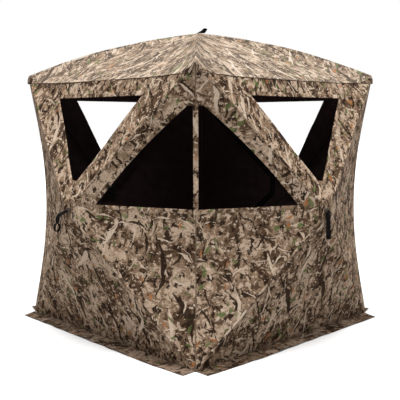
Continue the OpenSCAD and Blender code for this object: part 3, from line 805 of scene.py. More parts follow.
class Growth:
    """A geometry node tree in the making, from a path to real pieces along it."""

    def __init__(self, name, sizes):
        self.tree = bpy.data.node_groups.new(name, "GeometryNodeTree")
        sockets = self.tree.interface
        sockets.new_socket("Path", in_out="INPUT", socket_type="NodeSocketGeometry")
        for label in sizes:
            sockets.new_socket(label, in_out="INPUT", socket_type="NodeSocketFloat")
        sockets.new_socket("Material", in_out="INPUT", socket_type="NodeSocketMaterial")
        sockets.new_socket("Pieces", in_out="OUTPUT", socket_type="NodeSocketGeometry")
        self.given = self.tree.nodes.new("NodeGroupInput").outputs

    def node(self, kind, inputs=(), **settings):
        made = self.tree.nodes.new(kind)
        for key, value in settings.items():
            setattr(made, key, value)
        for key, value in dict(inputs).items():
            if isinstance(value, bpy.types.NodeSocket):
                self.tree.links.new(value, made.inputs[key])
            else:
                made.inputs[key].default_value = value
        return made

    def close(self, geometry_socket):
        real = self.node("GeometryNodeRealizeInstances", {0: geometry_socket})
        inked = self.node("GeometryNodeSetMaterial", {0: real.outputs[0], "Material": self.given["Material"]})
        self.tree.links.new(inked.outputs[0], self.tree.nodes.new("NodeGroupOutput").inputs[0])
        return self.tree


def row_tree(name, rounded):
    """Small pieces in a row along a path: rounded stitches, or square zip teeth."""
    grow = Growth(name, ("Pitch", "Length", "Width", "Height"))
    curve = grow.node("GeometryNodeMeshToCurve", {0: grow.given["Path"]})
    points = grow.node("GeometryNodeCurveToPoints", {"Curve": curve.outputs[0]}, mode="LENGTH")
    grow.tree.links.new(grow.given["Pitch"], points.inputs["Length"])
    size = grow.node("ShaderNodeCombineXYZ", {
        0: grow.given["Height"], 1: grow.given["Width"], 2: grow.given["Length"]
    })
    if rounded:
        shape = grow.node("GeometryNodeMeshUVSphere", {"Segments": 6, "Rings": 4, "Radius": 0.5})
    else:
        shape = grow.node("GeometryNodeMeshCube", {"Size": (1.0, 1.0, 1.0)})
    placed = grow.node("GeometryNodeInstanceOnPoints", {
        "Points": points.outputs["Points"],
        "Instance": shape.outputs["Mesh"],
        "Rotation": points.outputs["Rotation"],
        "Scale": size.outputs[0],
    })
    return grow.close(placed.outputs[0])


def tube_tree(name):
    """A round trim along a path."""
    grow = Growth(name, ("Radius",))
    curve = grow.node("GeometryNodeMeshToCurve", {0: grow.given["Path"]})
    ring = grow.node("GeometryNodeCurvePrimitiveCircle", {"Resolution": 8, "Radius": grow.given["Radius"]})
    tube = grow.node("GeometryNodeCurveToMesh", {
        "Curve": curve.outputs[0], "Profile Curve": ring.outputs[0], "Fill Caps": True
    })
    return grow.close(tube.outputs[0])


TREES = {
    "stitch_row": lambda: row_tree("stitch_row", True),
    "tooth_row": lambda: row_tree("tooth_row", False),
    "round_trim": lambda: tube_tree("round_trim"),
}


def grown(name, lines, tree_name, sizes, material):
    """A piece that a node tree makes along some lines of points."""
    tree = bpy.data.node_groups.get(tree_name) or TREES[tree_name]()
    points, edges = [], []
    for line in lines:
        base = len(points)
        points += list(line)
        edges += [(base + i, base + i + 1) for i in range(len(line) - 1)]
    piece = new_piece(name, new_mesh(name, points, (), (material,), edges))
    growth = piece.modifiers.new("growth", "NODES")
    growth.node_group = tree
    given = {**sizes, "Material": material}
    for item in tree.interface.items_tree:
        if item.in_out == "INPUT" and item.name in given:
            growth[item.identifier] = given[item.name]
    return finished(piece)


def stitched(name, lines, thread="sewing_thread"):
    sewing = bpy.context.scene.blind_sewing
    sizes = {
        "Pitch": sewing.stitch_pitch,
        "Length": sewing.stitch_length,
        "Width": sewing.stitch_width,
        "Height": sewing.stitch_width,
    }
    return grown(name, lines, "stitch_row", sizes, finish_of(thread))


def strips_mesh(name, strips, materials):
    """One mesh from strips of points in rows, each with its own map of the cloth."""
    points, faces, uv = [], [], []
    for rows, maps, closed in strips:
        count, across = len(rows), len(rows[0])
        base = len(points)
        points += [p for row in rows for p in row]
        flat_maps = [m for row in maps for m in row]
        for i in range(count if closed else count - 1):
            ahead = (i + 1) % count
            for j in range(across - 1):
                corners = [i * across + j, ahead * across + j, ahead * across + j + 1, i * across + j + 1]
                faces.append([base + c for c in corners])
                uv += [flat_maps[c] for c in corners]
    mesh = new_mesh(name, points, faces, materials)
    set_uv(mesh, uv)
    return mesh


def offset_route(route, distance, closed):
    """A flat line moved sideways, to its right as it runs, with cut back corners."""
    run = np.roll(route, -1, axis=0) - route
    if not closed:
        run[-1] = run[-2]
    way = run / np.linalg.norm(run, axis=1, keepdims=True)
    before = np.roll(way, 1, axis=0)
    if not closed:
        before[0] = way[0]
    right = np.stack([way[:, 1], -way[:, 0]], axis=1)
    right_before = np.stack([before[:, 1], -before[:, 0]], axis=1)
    joint = right + right_before
    reach = np.maximum((joint * right).sum(axis=1, keepdims=True), 0.75)
    return route + joint / reach * distance


def on_side(form, side, route, lift):
    """Points on the cloth of a side, lifted off it."""
    sewing = bpy.context.scene.blind_sewing
    s, y = route[:, 0], route[:, 1]
    out = form.height(side, s, y) + creases(form, side, s, y, sewing.crease) + lift
    return form.place(side, s, y, out)


def trim_strip(form, side, route, profile, closed, shift):
    """A sewn strip along a flat line, from its distances aside and lifts."""
    columns, maps = [], []
    for aside, lift in profile:
        flat = offset_route(route, aside, closed)
        columns.append(on_side(form, side, flat, lift))
        maps.append(flat + shift)
    rows = np.stack(columns, axis=1)
    uv = np.stack(maps, axis=1)
    return rows, uv, closed


def eave_window(form, openings):
    top = form.rise - form.dip_depth - openings.eave_drop
    wide, blunt = openings.eave_width / 2, openings.eave_blunt / 2
    low = top - openings.eave_height * (1 - blunt / wide)
    return [(wide, top), (-wide, top), (-blunt, low), (blunt, low)]


def corner_window(form, openings, side, way):
    """Sill, slant and head of half the corner window, from the corner edge and back to it, going up."""
    sill, head = openings.corner_sill, openings.corner_sill + openings.corner_height
    wide, top = openings.corner_width, openings.corner_top
    tall = openings.corner_height
    t = np.linspace(0, 1, 21)
    slant = np.stack([way * (form.half - wide + (wide - top) * t), sill + tall * t], axis=1)
    across = np.array([-tall * way, wide - top]) / math.hypot(tall, wide - top)
    bowed = slant + across * openings.corner_bow * 4 * t[:, None] * (1 - t[:, None])
    return [
        (float(form.edge_at(side, way, np.float64(sill))), sill),
        *[(float(p[0]), float(p[1])) for p in bowed],
        (float(form.edge_at(side, way, np.float64(head))), head),
    ]


# The walls with half a corner window each, and the end of the wall that it is at
CORNER_HALVES = {0: 1, 1: -1}


def door_slope(form):
    apex = form.wall_pop / (1 - form.patch / form.half)
    return math.atan2(apex, form.half)


def door_outline(openings, inset, near_gap):
    """Doorway in the plane of its gore, set in on its zipped edges: distance from the corner, and height."""
    near, far = openings.door_near + near_gap, openings.door_far - inset
    fall = (openings.door_near_rise - openings.door_far_rise) / (openings.door_far - openings.door_near)
    side = inset * math.hypot(1, fall)
    near_rise = openings.door_near_rise - near_gap * fall - side
    far_rise = openings.door_far_rise + inset * fall - side
    return np.array([(near, near_rise), (far, far_rise), (far, -far_rise), (near, -near_rise)])


def door_place(form, flat, lift):
    """Points of the door's plane as points of the blind."""
    slope = door_slope(form)
    lift = np.broadcast_to(lift, flat[:, 0].shape)
    s = form.half - flat[:, 0] * math.cos(slope) + lift * math.sin(slope)
    out = flat[:, 0] * math.sin(slope) + lift * math.cos(slope)
    return form.place(DOOR_SIDE, s, flat[:, 1], out)


def wall_outline(form, openings, side, step):
    """Outline of a wall, anticlockwise from outside, with any notch of the corner window."""

    def edge(way, going_up):
        heights = np.linspace(-form.rise, form.rise, math.ceil(2 * form.rise / step) + 1)
        points = [(float(form.edge_at(side, way, y)), float(y)) for y in heights]
        if CORNER_HALVES.get(side) == way:
            notch = corner_window(form, openings, side, way)
            low, high = notch[0][1], notch[-1][1]
            below = [p for p in points if p[1] < low - step / 3]
            above = [p for p in points if p[1] > high + step / 3]
            points = below + [tuple(p) for p in dense(notch, step)] + above
        return points if going_up else points[::-1]

    shares = np.linspace(1, -1, math.ceil(2 * form.half / step) + 1)
    top = [(float(s * form.half), float(form.rise - form.dip(s))) for s in shares]
    bottom = [(float(-s * form.half), -form.rise) for s in shares]
    return np.array(bottom[:-1] + edge(1, True)[:-1] + top[:-1] + edge(-1, False)[:-1])


def ridges(form, side, start, stop):
    """The four lines from the hub patch to the corners of a side."""
    rise = form.half if side == ROOF else form.rise
    begin = form.patch * start
    return [
        np.array([
            (way * (begin + (form.half * stop - begin) * t), up * (begin + (rise * stop - begin) * t))
            for t in np.linspace(0, 1, 50)
        ])
        for way in (1, -1)
        for up in (1, -1)
    ]


def gore_of(middles):
    """Which gore each face belongs to: 0 right, 1 top, 2 left, 3 bottom."""
    return ((np.degrees(np.arctan2(middles[:, 1], middles[:, 0])) + 45) % 360 // 90).astype(int)


def gore_maps(corners, gores, side, turns):
    """Map of the print, turned and moved from gore to gore as if each were cut apart."""
    turn = np.radians(np.array(turns))[gores]
    u = corners[..., 0] * np.cos(turn) - corners[..., 1] * np.sin(turn)
    v = corners[..., 0] * np.sin(turn) + corners[..., 1] * np.cos(turn)
    draw = np.random.default_rng(70 + side)
    shift = draw.uniform(-6, 6, (4, 2))[gores]
    return np.stack([u + shift[..., 0], v + shift[..., 1]], axis=-1)


# Where the cloth's ridges start and stop, and the seams over them, as shares of the hub patch and the corner
RIDGE_SPAN = (1.0, 0.985)
FELL_SPAN = (1.15, 0.955)


def cloth_panel(name, form, side, outline, holes, materials, turns):
    """A side's cloth, cut to its outline, tensioned and lined."""
    sewing = bpy.context.scene.blind_sewing
    flat, faces = triangulate(outline, holes, ridges(form, side, *RIDGE_SPAN), sewing.grid)
    points = on_side(form, side, flat, 0.0)
    mesh = new_mesh(name, points, faces, materials)
    gores = np.repeat(gore_of(flat[faces].mean(axis=1)), 3)
    set_uv(mesh, gore_maps(flat[faces].reshape(-1, 2), gores, side, turns))
    piece = thicken(new_piece(name, mesh), sewing.cloth)
    return piece, mesh_area(points, faces)


def mesh_area(points, faces):
    a, b, c = (points[faces[:, i]] for i in range(3))
    return float(np.linalg.norm(np.cross(b - a, c - a), axis=1).sum() / 2)


def cut_size(form, side):
    """Width and height of a side's cloth laid flat, measured over its hub."""
    rise = form.half if side == ROOF else form.rise
    across = np.linspace(-1, 1, 200)
    still = np.zeros_like(across)
    lines = (np.stack([across * form.half, still], axis=1), np.stack([still, across * rise], axis=1))
    runs = (np.diff(on_side(form, side, line, 0.0), axis=0) for line in lines)
    return tuple(float(np.linalg.norm(run, axis=1).sum()) for run in runs)


# How far sewn edges, hub patches and stitches stand off the cloth, and the steps along trims and seams
EDGE_LIFT = 0.0001
PATCH_LIFT = 0.0015
SEAM_LIFT = 0.0016
PATCH_SEAM_LIFT = 0.0019
TRIM_STEP = 0.012
SEAM_STEP = 0.01
# Stitched lines, in widths of a hem and of a felled seam, and in sizes of the hub patch, and its cloth's size
HEM_SEAM = 0.78
FELL_SEAMS = (-0.33, 0.33)
PATCH_SEAMS = (1.08, 0.96)
PATCH_TRIM = 1.2


def patch_ring(form, grow):
    wide = form.patch * grow
    return dense([(wide, wide), (-wide, wide), (-wide, -wide), (wide, -wide)], SEAM_STEP, True)


def window_hem_profile(sewing):
    """Distances aside and lifts across a hem, from the turned edge of the window outwards."""
    lap, edge = sewing.hem, 0.0008
    return [
        (-edge, -sewing.cloth - edge),
        (-2 * edge, 0.0),
        (0.0, 0.0014),
        (lap * 0.5, 0.0016),
        (lap * 0.92, 0.0012),
        (lap, EDGE_LIFT),
    ]


def fell_profile(width):
    """Distances aside and lifts across a felled seam."""
    half = width / 2
    shoulder = half * 0.85
    return [(-half, EDGE_LIFT), (-shoulder, 0.0013), (0.0, 0.0018), (shoulder, 0.0013), (half, EDGE_LIFT)]


def side_trims(form, side, rings, routes, material):
    """Hems, felled ridge seams and a hub patch on one side, with their stitches."""
    sewing = bpy.context.scene.blind_sewing
    name = "roof" if side == ROOF else SIDES[side]
    shift = np.array([2.3, 1.7])
    strips, seams = [], []
    hems = [(dense(ring, TRIM_STEP, True), True) for ring in rings]
    hems += [(dense(route, TRIM_STEP), False) for route in routes]
    for route, closed in hems:
        strips.append(trim_strip(form, side, route, window_hem_profile(sewing), closed, shift))
        line = offset_route(route, sewing.hem * HEM_SEAM, closed)
        line = np.vstack([line, line[:1]]) if closed else line
        seams.append(on_side(form, side, line, SEAM_LIFT))
    for ridge in ridges(form, side, *FELL_SPAN):
        strips.append(trim_strip(form, side, ridge, fell_profile(sewing.fell), False, shift))
        for aside in FELL_SEAMS:
            seams.append(on_side(form, side, offset_route(ridge, aside * sewing.fell, False), SEAM_LIFT))
    wide = form.patch * PATCH_TRIM
    steps = np.linspace(-wide, wide, 13)
    rows, maps = [], []
    for y in steps[::-1]:
        flat = np.stack([steps, np.full_like(steps, y)], axis=1)
        reach = np.maximum(np.abs(steps), abs(y))
        flush = (reach > wide * 0.99) | (reach < wide * 0.4)
        rows.append(on_side(form, side, flat, np.where(flush, EDGE_LIFT, PATCH_LIFT)))
        maps.append(flat + shift)
    strips.append((rows, maps, False))
    for grow in PATCH_SEAMS:
        line = patch_ring(form, grow)
        seams.append(on_side(form, side, np.vstack([line, line[:1]]), PATCH_SEAM_LIFT))
    trims = new_piece(f"{name}_seams", strips_mesh(f"{name}_seams", strips, (material,)))
    smooth(trims.data)
    stitches = stitched(f"{name}_stitches", seams)
    for piece in (trims, stitches):
        follow_hub(piece, form, side)
    return trims, stitches


# How far the doorway is cut clear of the zip tape, which a pushed in wall draws past the cloth
DOOR_EASE = 0.003
# How far the print is turned on the right, top, left and bottom gore, in degrees
WALL_TURNS = (3, -2, -4, 2)
ROOF_TURNS = (90, 180, 270, 0)


class BLIND_OT_walls(bpy.types.Operator):
    """Cuts and tensions the four walls, with their windows, hems, seams and stitches"""

    bl_idname = "blind.walls"
    bl_label = "Walls"

    def execute(self, context):
        form = blind_form()
        openings = context.scene.blind_openings
        sewing = context.scene.blind_sewing
        print_cloth, lining = finish_of("wall_print"), finish_of("dark_lining")
        for side, name in enumerate(SIDES):
            window = eave_window(form, openings)
            holes = [dense(window, sewing.grid, True)]
            if side == DOOR_SIDE:
                door = door_outline(openings, -DOOR_EASE, 0.0)
                along = form.half - door[:, 0] * math.cos(door_slope(form))
                holes.append(dense(np.stack([along, door[:, 1]], axis=1), sewing.grid, True))
            outline = wall_outline(form, openings, side, sewing.grid)
            cloth = print_cloth, lining
            piece, area = cloth_panel(f"{name}_wall", form, side, outline, holes, cloth, WALL_TURNS)
            follow_hub(piece, form, side)
            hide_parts(f"wall_{name}")
            notch = []
            if side in CORNER_HALVES:
                notch = corner_window(form, openings, side, CORNER_HALVES[side])
                notch = [notch if CORNER_HALVES[side] < 0 else notch[::-1]]
            trims = side_trims(form, side, [window], notch, print_cloth)
            cut = cut_size(form, side)
        return {"FINISHED"}


class BLIND_OT_roof(bpy.types.Operator):
    """Cuts and tensions the bowed roof, with its ridge seams and stitches"""

    bl_idname = "blind.roof"
    bl_label = "Roof"

    def execute(self, context):
        form = blind_form()
        sewing = context.scene.blind_sewing
        # The roof's cloth is the paler copy of the print with painted sheen
        print_cloth = finish_of("roof_print_painted_sheen")
        shares = np.linspace(-1, 1, math.ceil(2 * form.half / sewing.grid) + 1)[:-1]
        eave = np.stack([shares * form.half, form.eave_in(shares) - form.half], axis=1)
        outline = np.concatenate([turned(eave, 90 * k) for k in range(4)])
        cloth = print_cloth, finish_of("dark_lining")
        piece, area = cloth_panel("roof_cloth", form, ROOF, outline, [], cloth, ROOF_TURNS)
        follow_hub(piece, form, ROOF)
        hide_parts("roof")
        trims = side_trims(form, ROOF, [], [], print_cloth)
        cut = cut_size(form, ROOF)
        return {"FINISHED"}


def turned(flat, degrees):
    """Flat points turned about the middle."""
    turn = math.radians(degrees)
    c, s = math.cos(turn), math.sin(turn)
    return flat @ np.array([[c, s], [-s, c]])


# Length of a cap's fall along a wall, height of the straight seam below the tip, and the hood's fullness
CAP_REACH = 0.125
CAP_SEAM = 0.0495
CAP_HOOD = 0.014
# How far a cap's falls start from the corner and it stands off the cloth, and the size of its hood's gathers
CAP_INSET = 0.001
CAP_LIFT = 0.0022
CAP_GATHER = 0.0022
CAP_GATHER_PITCH = 0.019
# Share of an eave's half length at which its seam goes under the hood of the corner with the window
HOOD_SHARE = 0.88


def eave_line(form, side, out):
    """Points along the seam of an eave, which runs on nearly straight below the corner caps."""
    hooded = {0: (-1, HOOD_SHARE), 1: (-HOOD_SHARE, 1)}
    shares = np.linspace(*hooded.get(side, (-1, 1)), 120)
    drop = np.maximum(form.dip(shares), CAP_SEAM)
    y = form.rise - drop
    s = np.clip(shares * form.half, form.edge_at(side, -1, y), form.edge_at(side, 1, y))
    height = np.where(drop > form.dip(shares), form.wall_height(side, s, y), -form.eave_in(shares))
    return form.place(side, s, y, height + out)


def corner_line(form, corner, low, high, out):
    """Points down the edge between a wall and the next, moved out of the corner."""
    heights = np.linspace(low, high, max(4, math.ceil((high - low) / 0.02)))
    along = form.edge_at(corner, 1, heights) + out / math.sqrt(2)
    drawn = form.half - form.edge_at(corner, 1, heights)
    return form.place(corner, along, heights, out / math.sqrt(2) - drawn)


# How far the eaves' piping stands out, where a corner's binding stops, and the place of the welt at the foot
PIPING_OUT = 0.0006
BINDING_FOOT = 0.006
BINDING_HEAD = 0.004
WELT_UP = 0.004
WELT_OUT = 0.0012


class BLIND_OT_edges(bpy.types.Operator):
    """Pipes the eaves, binds the corners and sews the foot of the walls"""

    bl_idname = "blind.edges"
    bl_label = "Eaves and corners"

    def execute(self, context):
        form = blind_form()
        openings = context.scene.blind_openings
        sewing = context.scene.blind_sewing
        # The piping and the foot welt are dark: partly their own tone, partly painted seam shade
        trim = finish_of("dark_piping_painted_shade")
        eaves = [eave_line(form, side, PIPING_OUT) for side in range(4)]
        piping = grown("eave_piping", eaves, "round_trim", {"Radius": sewing.piping}, trim)
        sill, head = openings.corner_sill, openings.corner_sill + openings.corner_height
        foot, top = -form.rise + BINDING_FOOT, form.rise - BINDING_HEAD
        corners = [corner_line(form, 0, foot, sill, 0.0), corner_line(form, 0, head, top, 0.0)]
        corners += [corner_line(form, corner, foot, top, 0.0) for corner in (1, 2, 3)]
        edge = finish_of("bound_edge")
        binding = grown("corner_binding", corners, "round_trim", {"Radius": sewing.binding}, edge)
        x = np.linspace(-form.half, form.half, 60)
        level, out = np.full_like(x, WELT_UP - form.rise), np.full_like(x, WELT_OUT)
        feet = [form.place(side, x, level, out) for side in range(4)]
        welt = grown("foot_welt", feet, "round_trim", {"Radius": sewing.piping}, trim)
        for piece in (piping, binding, welt):
            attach(piece, "shell")
        return {"FINISHED"}


# Place and size of the stake eyelets: from the strip's end, and their flange and the hole cut for them
EYELET_END = 0.11
EYELET_FLANGE = 0.02
EYELET_HOLE = 0.0062
# Gap between two strips at a corner, and a square end's width, as a share, with the run over which it tapers
SKIRT_GAP = 0.002
SQUARE_END = 0.83
SQUARE_RUN = 0.3
# Heights of the skirt: where it lies, of its loose waves and at the wall's foot, and how far its edge wanders
SKIRT_LIES = 0.0014
SKIRT_WAVE = 0.007
SKIRT_FOOT = 0.004
SKIRT_WANDER = 0.003
# Distance over which the strip comes loose round an eyelet
EYELET_HOLDS = 0.08
# Place of the row of stitches along a wall's foot, and how far it stops short of the corners
SKIRT_SEAM_UP = 0.0042
SKIRT_SEAM_OUT = 0.006
SKIRT_SEAM_END = 0.01


def skirt_end(form, shape, by_window, way):
    """Outer corner of a skirt strip, cut back or, below the corner window, left square and narrower."""
    if not by_window:
        return [(way * (form.half - shape.skirt_inset), -shape.skirt_width)]
    return [
        (way * (form.half - 2 * SKIRT_GAP), -SQUARE_END * shape.skirt_width),
        (way * (form.half - SQUARE_RUN), -shape.skirt_width),
    ]


class BLIND_OT_skirt(bpy.types.Operator):
    """Lays a strip of cloth on the ground along each wall, holed for its eyelets"""

    bl_idname = "blind.skirt"
    bl_label = "Ground skirt"

    def execute(self, context):
        form = blind_form()
        shape = context.scene.blind_shape
        sewing = context.scene.blind_sewing
        _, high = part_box("stake_eyelets")
        eyelet_out = (high.x - form.half) - EYELET_FLANGE / 2
        eyelet_along = form.half - EYELET_END
        points, faces, maps, area = [], [], [], 0.0
        for side in range(4):
            outline = dense([
                (-form.half + SKIRT_GAP, 0.0),
                (form.half - SKIRT_GAP, 0.0),
                *skirt_end(form, shape, side == 0, 1),
                *skirt_end(form, shape, side == 1, -1)[::-1],
            ][::-1], sewing.grid, True)
            ring = np.radians(np.arange(0, 360, 20))
            circle = np.stack([np.cos(ring), np.sin(ring)], axis=1) * EYELET_HOLE
            holes = [circle + (way * eyelet_along, -eyelet_out) for way in (-1, 1)]
            flat, found = triangulate(outline, holes, [], sewing.grid * 0.8)
            area += mesh_area(np.column_stack([flat, np.zeros(len(flat))]), found)
            share = -flat[:, 1] / shape.skirt_width
            near_eyelet = np.min([np.hypot(flat[:, 0] - way * eyelet_along, flat[:, 1] + eyelet_out)
                                  for way in (-1, 1)], axis=0)
            loose = np.clip((near_eyelet - EYELET_FLANGE) / EYELET_HOLDS, 0, 1) * np.clip(share * 2.5, 0, 1)
            wave = 0.5 + 0.5 * ripple(flat[:, 0] * 1.4, flat[:, 1] * 0.25, 0.3, 50 + side)
            foot = SKIRT_FOOT * np.clip(1 - share * 4, 0, 1)
            lift = SKIRT_LIES + loose * SKIRT_WAVE * np.clip(wave, 0, 1.6) + foot
            edge = share * loose * SKIRT_WANDER * ripple(flat[:, 0], flat[:, 0] * 0, 0.22, 60 + side)
            placed = form.place(side, flat[:, 0], lift - form.rise, -flat[:, 1] + edge)
            base = len(points)
            points += list(placed)
            faces += (found + base).tolist()
            maps.append(flat[found].reshape(-1, 2) + (side * 2.9 + 0.7, side * 1.3 + 4.1))
        mesh = new_mesh("ground_skirt", points, faces, (finish_of("skirt_print"), finish_of("dark_lining")))
        set_uv(mesh, np.concatenate(maps))
        skirt = thicken(new_piece("ground_skirt", mesh), sewing.cloth)
        x = np.linspace(-form.half + SKIRT_SEAM_END, form.half - SKIRT_SEAM_END, 80)
        level, out = np.full_like(x, SKIRT_SEAM_UP - form.rise), np.full_like(x, SKIRT_SEAM_OUT)
        hems = [form.place(side, x, level, out) for side in range(4)]
        stitches = stitched("skirt_stitches", hems)
        for piece in (skirt, stitches):
            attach(piece, "shell")
        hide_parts("skirt")
        paint_nodes(("stake_eyelets",), "eyelet_brass")
        return {"FINISHED"}


class BLIND_OT_corner_caps(bpy.types.Operator):
    """Sews a reinforcing cap of cloth over each roof corner"""

    bl_idname = "blind.corner_caps"
    bl_label = "Corner caps"

    def execute(self, context):
        form = blind_form()
        shape = context.scene.blind_shape
        strips, seams = [], []
        steps, spread = np.linspace(0, 1, 13), np.linspace(0, 1, 41)
        for side in range(4):
            for way in (-1, 1):
                rows, maps = [], []
                for t in spread if way > 0 else spread[::-1]:
                    s = form.half - CAP_INSET - CAP_REACH * t
                    top = form.rise - form.dip(s / form.half)
                    y = top - (top - form.rise + CAP_SEAM) * steps
                    along = way * np.minimum(s, np.abs(form.edge_at(side, way, y)))
                    full = np.sin(math.pi / 2 * steps) * (1 - t) ** 2
                    gathers = CAP_GATHER * math.sin(2 * math.pi * s / CAP_GATHER_PITCH)
                    out = form.wall_height(side, along, y) + CAP_LIFT * min(1, 1.2 - t)
                    out = out + full * (CAP_HOOD + gathers)
                    rows.append(form.place(side, along, y, out))
                    maps.append(np.stack([along + side, y + 2.2], axis=1))
                strips.append((rows, maps, False))
                seams.append([row[-2] for row in rows])
            rows, maps = [], []
            for t in steps:
                y = -form.half + shape.cap_width * steps
                x = np.full_like(y, form.half - shape.cap_width * t)
                draw = form.eave_in(np.abs(y) / form.half) * (1 - t)
                height = form.roof_height(x, y)
                flat = turned(np.stack([x - draw, y], axis=1), 90 * side)
                rows.append(form.place(ROOF, flat[:, 0], flat[:, 1], height + CAP_LIFT))
                maps.append(np.stack([x + side, y + 1.2], axis=1))
            strips.append((rows[::-1], maps[::-1], False))
            seams += [list(rows[-2]), [row[-2] for row in rows]]
        # Outside and inside of the top, in the roof's copy with painted sheen, then of the falls, in the
        # hood's copy darkened as painted shade
        prints = (finish_of("roof_print_painted_sheen"),) * 2 + (finish_of("hood_print_painted_shade"),) * 2
        mesh = strips_mesh("corner_caps_cloth", strips, prints)
        falls, tops = 2 * (len(spread) - 1) * (len(steps) - 1), (len(steps) - 1) ** 2
        mesh.polygons.foreach_set("material_index", ([2] * falls + [0] * tops) * 4)
        caps = thicken(new_piece("corner_caps_cloth", mesh), context.scene.blind_sewing.cloth)
        stitches = stitched("corner_cap_stitches", [np.array(line) for line in seams])
        for piece in (caps, stitches):
            follow_hub(piece, form, ROOF)
        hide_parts("corner_caps")
        return {"FINISHED"}


# How far the corner strap laps the cloth at its ends and stands out of the corner, its width and thickness,
# and how far its stitches stand off it
STRAP_LAP = 0.022
STRAP_STAND = 0.0012
CORNER_STRAP = 0.025
CORNER_STRAP_THICK = 0.002
CORNER_THREAD_LIFT = 0.0004


class BLIND_OT_corner_strap(bpy.types.Operator):
    """Runs a printed webbing strap down the corner that the window goes round"""

    bl_idname = "blind.corner_strap"
    bl_label = "Corner strap"

    def execute(self, context):
        form = blind_form()
        openings = context.scene.blind_openings
        low = openings.corner_sill - STRAP_LAP
        high = openings.corner_sill + openings.corner_height + STRAP_LAP
        line = corner_line(form, 0, low, high, STRAP_STAND)
        aside = np.array([1, 1, 0]) / math.sqrt(2)
        outward = np.array([1, -1, 0]) / math.sqrt(2)
        half, thick = CORNER_STRAP / 2, CORNER_STRAP_THICK / 2
        profile = [(-half, -thick), (half, -thick), (half, thick), (-half, thick), (-half, -thick)]
        rows = [[p + aside * a + outward * o for a, o in profile] for p in line[::-1]]
        runs = [0.0, CORNER_STRAP, CORNER_STRAP + 2 * thick, 2 * CORNER_STRAP, 2 * CORNER_STRAP + 2 * thick]
        maps = [[(run + 7.7, p[2] + 3.1) for run in runs] for p in line[::-1]]
        mesh = strips_mesh("corner_webbing", [(rows, maps, False)], (finish_of("wall_print"),))
        strap = new_piece("corner_webbing", mesh)
        smooth(strap.data)
        over = outward * (thick + CORNER_THREAD_LIFT)
        ends = [
            np.array([line[i] + aside * a + over for a in np.linspace(-half, half, 9)])
            for i in (1, 2, len(line) - 2, len(line) - 3)
        ]
        stitches = stitched("corner_webbing_stitches", ends)
        for piece in (strap, stitches):
            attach(piece, "shell")
        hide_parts("corner_strap")
        return {"FINISHED"}


def side_frame(form, side):
    """A side's own frame: along, up and out."""
    if side == ROOF:
        return Matrix.Translation((0, 0, 2 * form.rise))
    turn = Matrix.Rotation(math.radians(90 * side), 4, "Z")
    return turn @ Matrix.Translation((0, -form.half, form.rise)) @ Matrix.Rotation(math.radians(90), 4, "X")


def tip_frames(form, side, tip_back):
    """Frames at the four pole tips of a side, with the pole along X."""
    pop = form.roof_pop if side == ROOF else form.wall_pop
    drop = ROOF_TIP_DROP if side == ROOF else WALL_TIP_DROP
    bow = form.bow if side == ROOF else 0.0
    rise = form.half if side == ROOF else form.rise
    reach = math.hypot(form.half, rise)

    def ridge(distance):
        past = (distance / reach - form.patch / form.half) / (1 - form.patch / form.half)
        return pop * (1 - past) + 4 * bow * past * (1 - past)

    far = reach - tip_back
    pin_height, tip_height = pop - PIN_UNDER, ridge(far) - drop
    run = math.hypot(far - PIN_RADIUS, pin_height - tip_height)
    tilt = math.atan2(pin_height - tip_height, far - PIN_RADIUS)
    turn = 0.0
    if bow:
        arch = ridge((PIN_RADIUS + far) / 2) - ROOF_ROD_DROP - (pin_height + tip_height) / 2
        radius = ((run / 2) ** 2 + arch**2) / (2 * arch)
        turn = math.asin(run / 2 / radius) - TIP_LENGTH / 2 / radius
    fan = math.atan2(rise, form.half)
    for angle in (fan, math.pi - fan, math.pi + fan, -fan):
        pole = Matrix.Rotation(angle, 4, "Z") @ Matrix.Translation((PIN_RADIUS, 0, pin_height))
        pole = pole @ Matrix.Rotation(tilt, 4, "Y") @ Matrix.Translation((run, 0, 0))
        yield side_frame(form, side) @ pole @ Matrix.Rotation(turn, 4, "Y")


# Corners that a side's poles go to, in the order of tip_frames
WALL_CORNERS = ("upper_right", "upper_left", "lower_left", "lower_right")
ROOF_CORNERS = ("back_right", "back_left", "front_left", "front_right")


class BLIND_OT_pockets(bpy.types.Operator):
    """Sews a webbing pocket over each pole tip"""

    bl_idname = "blind.pockets"
    bl_label = "Pole pockets"

    def execute(self, context):
        form = blind_form()
        tip_back = context.scene.blind_shape.tip_back
        # Along the pole, half width, half height, and how far the sewn end turns inwards
        stations = [
            (-0.010, 0.0076, 0.0076, 0), (-0.0278, 0.0076, 0.0076, 0), (-0.0284, 0.0084, 0.0084, 0),
            (-0.0276, 0.0096, 0.0096, 0), (-0.021, 0.0094, 0.0094, 0), (-0.020, 0.009, 0.009, 0),
            (0.006, 0.009, 0.009, 0), (0.011, 0.0096, 0.0066, 0.001), (0.016, 0.0098, 0.003, 0.003),
            (0.0185, 0.0098, 0.0012, 0.004),
        ]
        around = np.radians(np.linspace(0, 360, 19))
        for side, name in enumerate((*SIDES, "roof")):
            corners = ROOF_CORNERS if side == ROOF else WALL_CORNERS
            for corner, place in zip(corners, tip_frames(form, side, tip_back)):
                rows, maps = [], []
                for along, wide, high, turned_in in stations:
                    ring = [(along, wide * math.cos(a), high * math.sin(a) - turned_in) for a in around]
                    rows.append([tuple(place @ Vector(p)) for p in ring])
                    maps.append([(a * 0.009, along) for a in around])
                label = f"{name}_pocket_{corner}"
                mesh = strips_mesh(label, [(rows, maps, False)], (finish_of("ribbed_webbing"),))
                pocket = new_piece(label, mesh)
                closed_up(pocket.data)
                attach(pocket, f"{name}_pole_{corner}")
                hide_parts("corner_pockets")
        return {"FINISHED"}


# The bar that carries a pull strap: its distance out from the cloth patch, and its radius
BAR_OUT = 0.0103
BAR_RADIUS = 0.003
# Distance of a strap's middle line from the middle of its two layers, and from the bar
LAYER_OFF = 0.0011
EYE_OFF = 0.0013


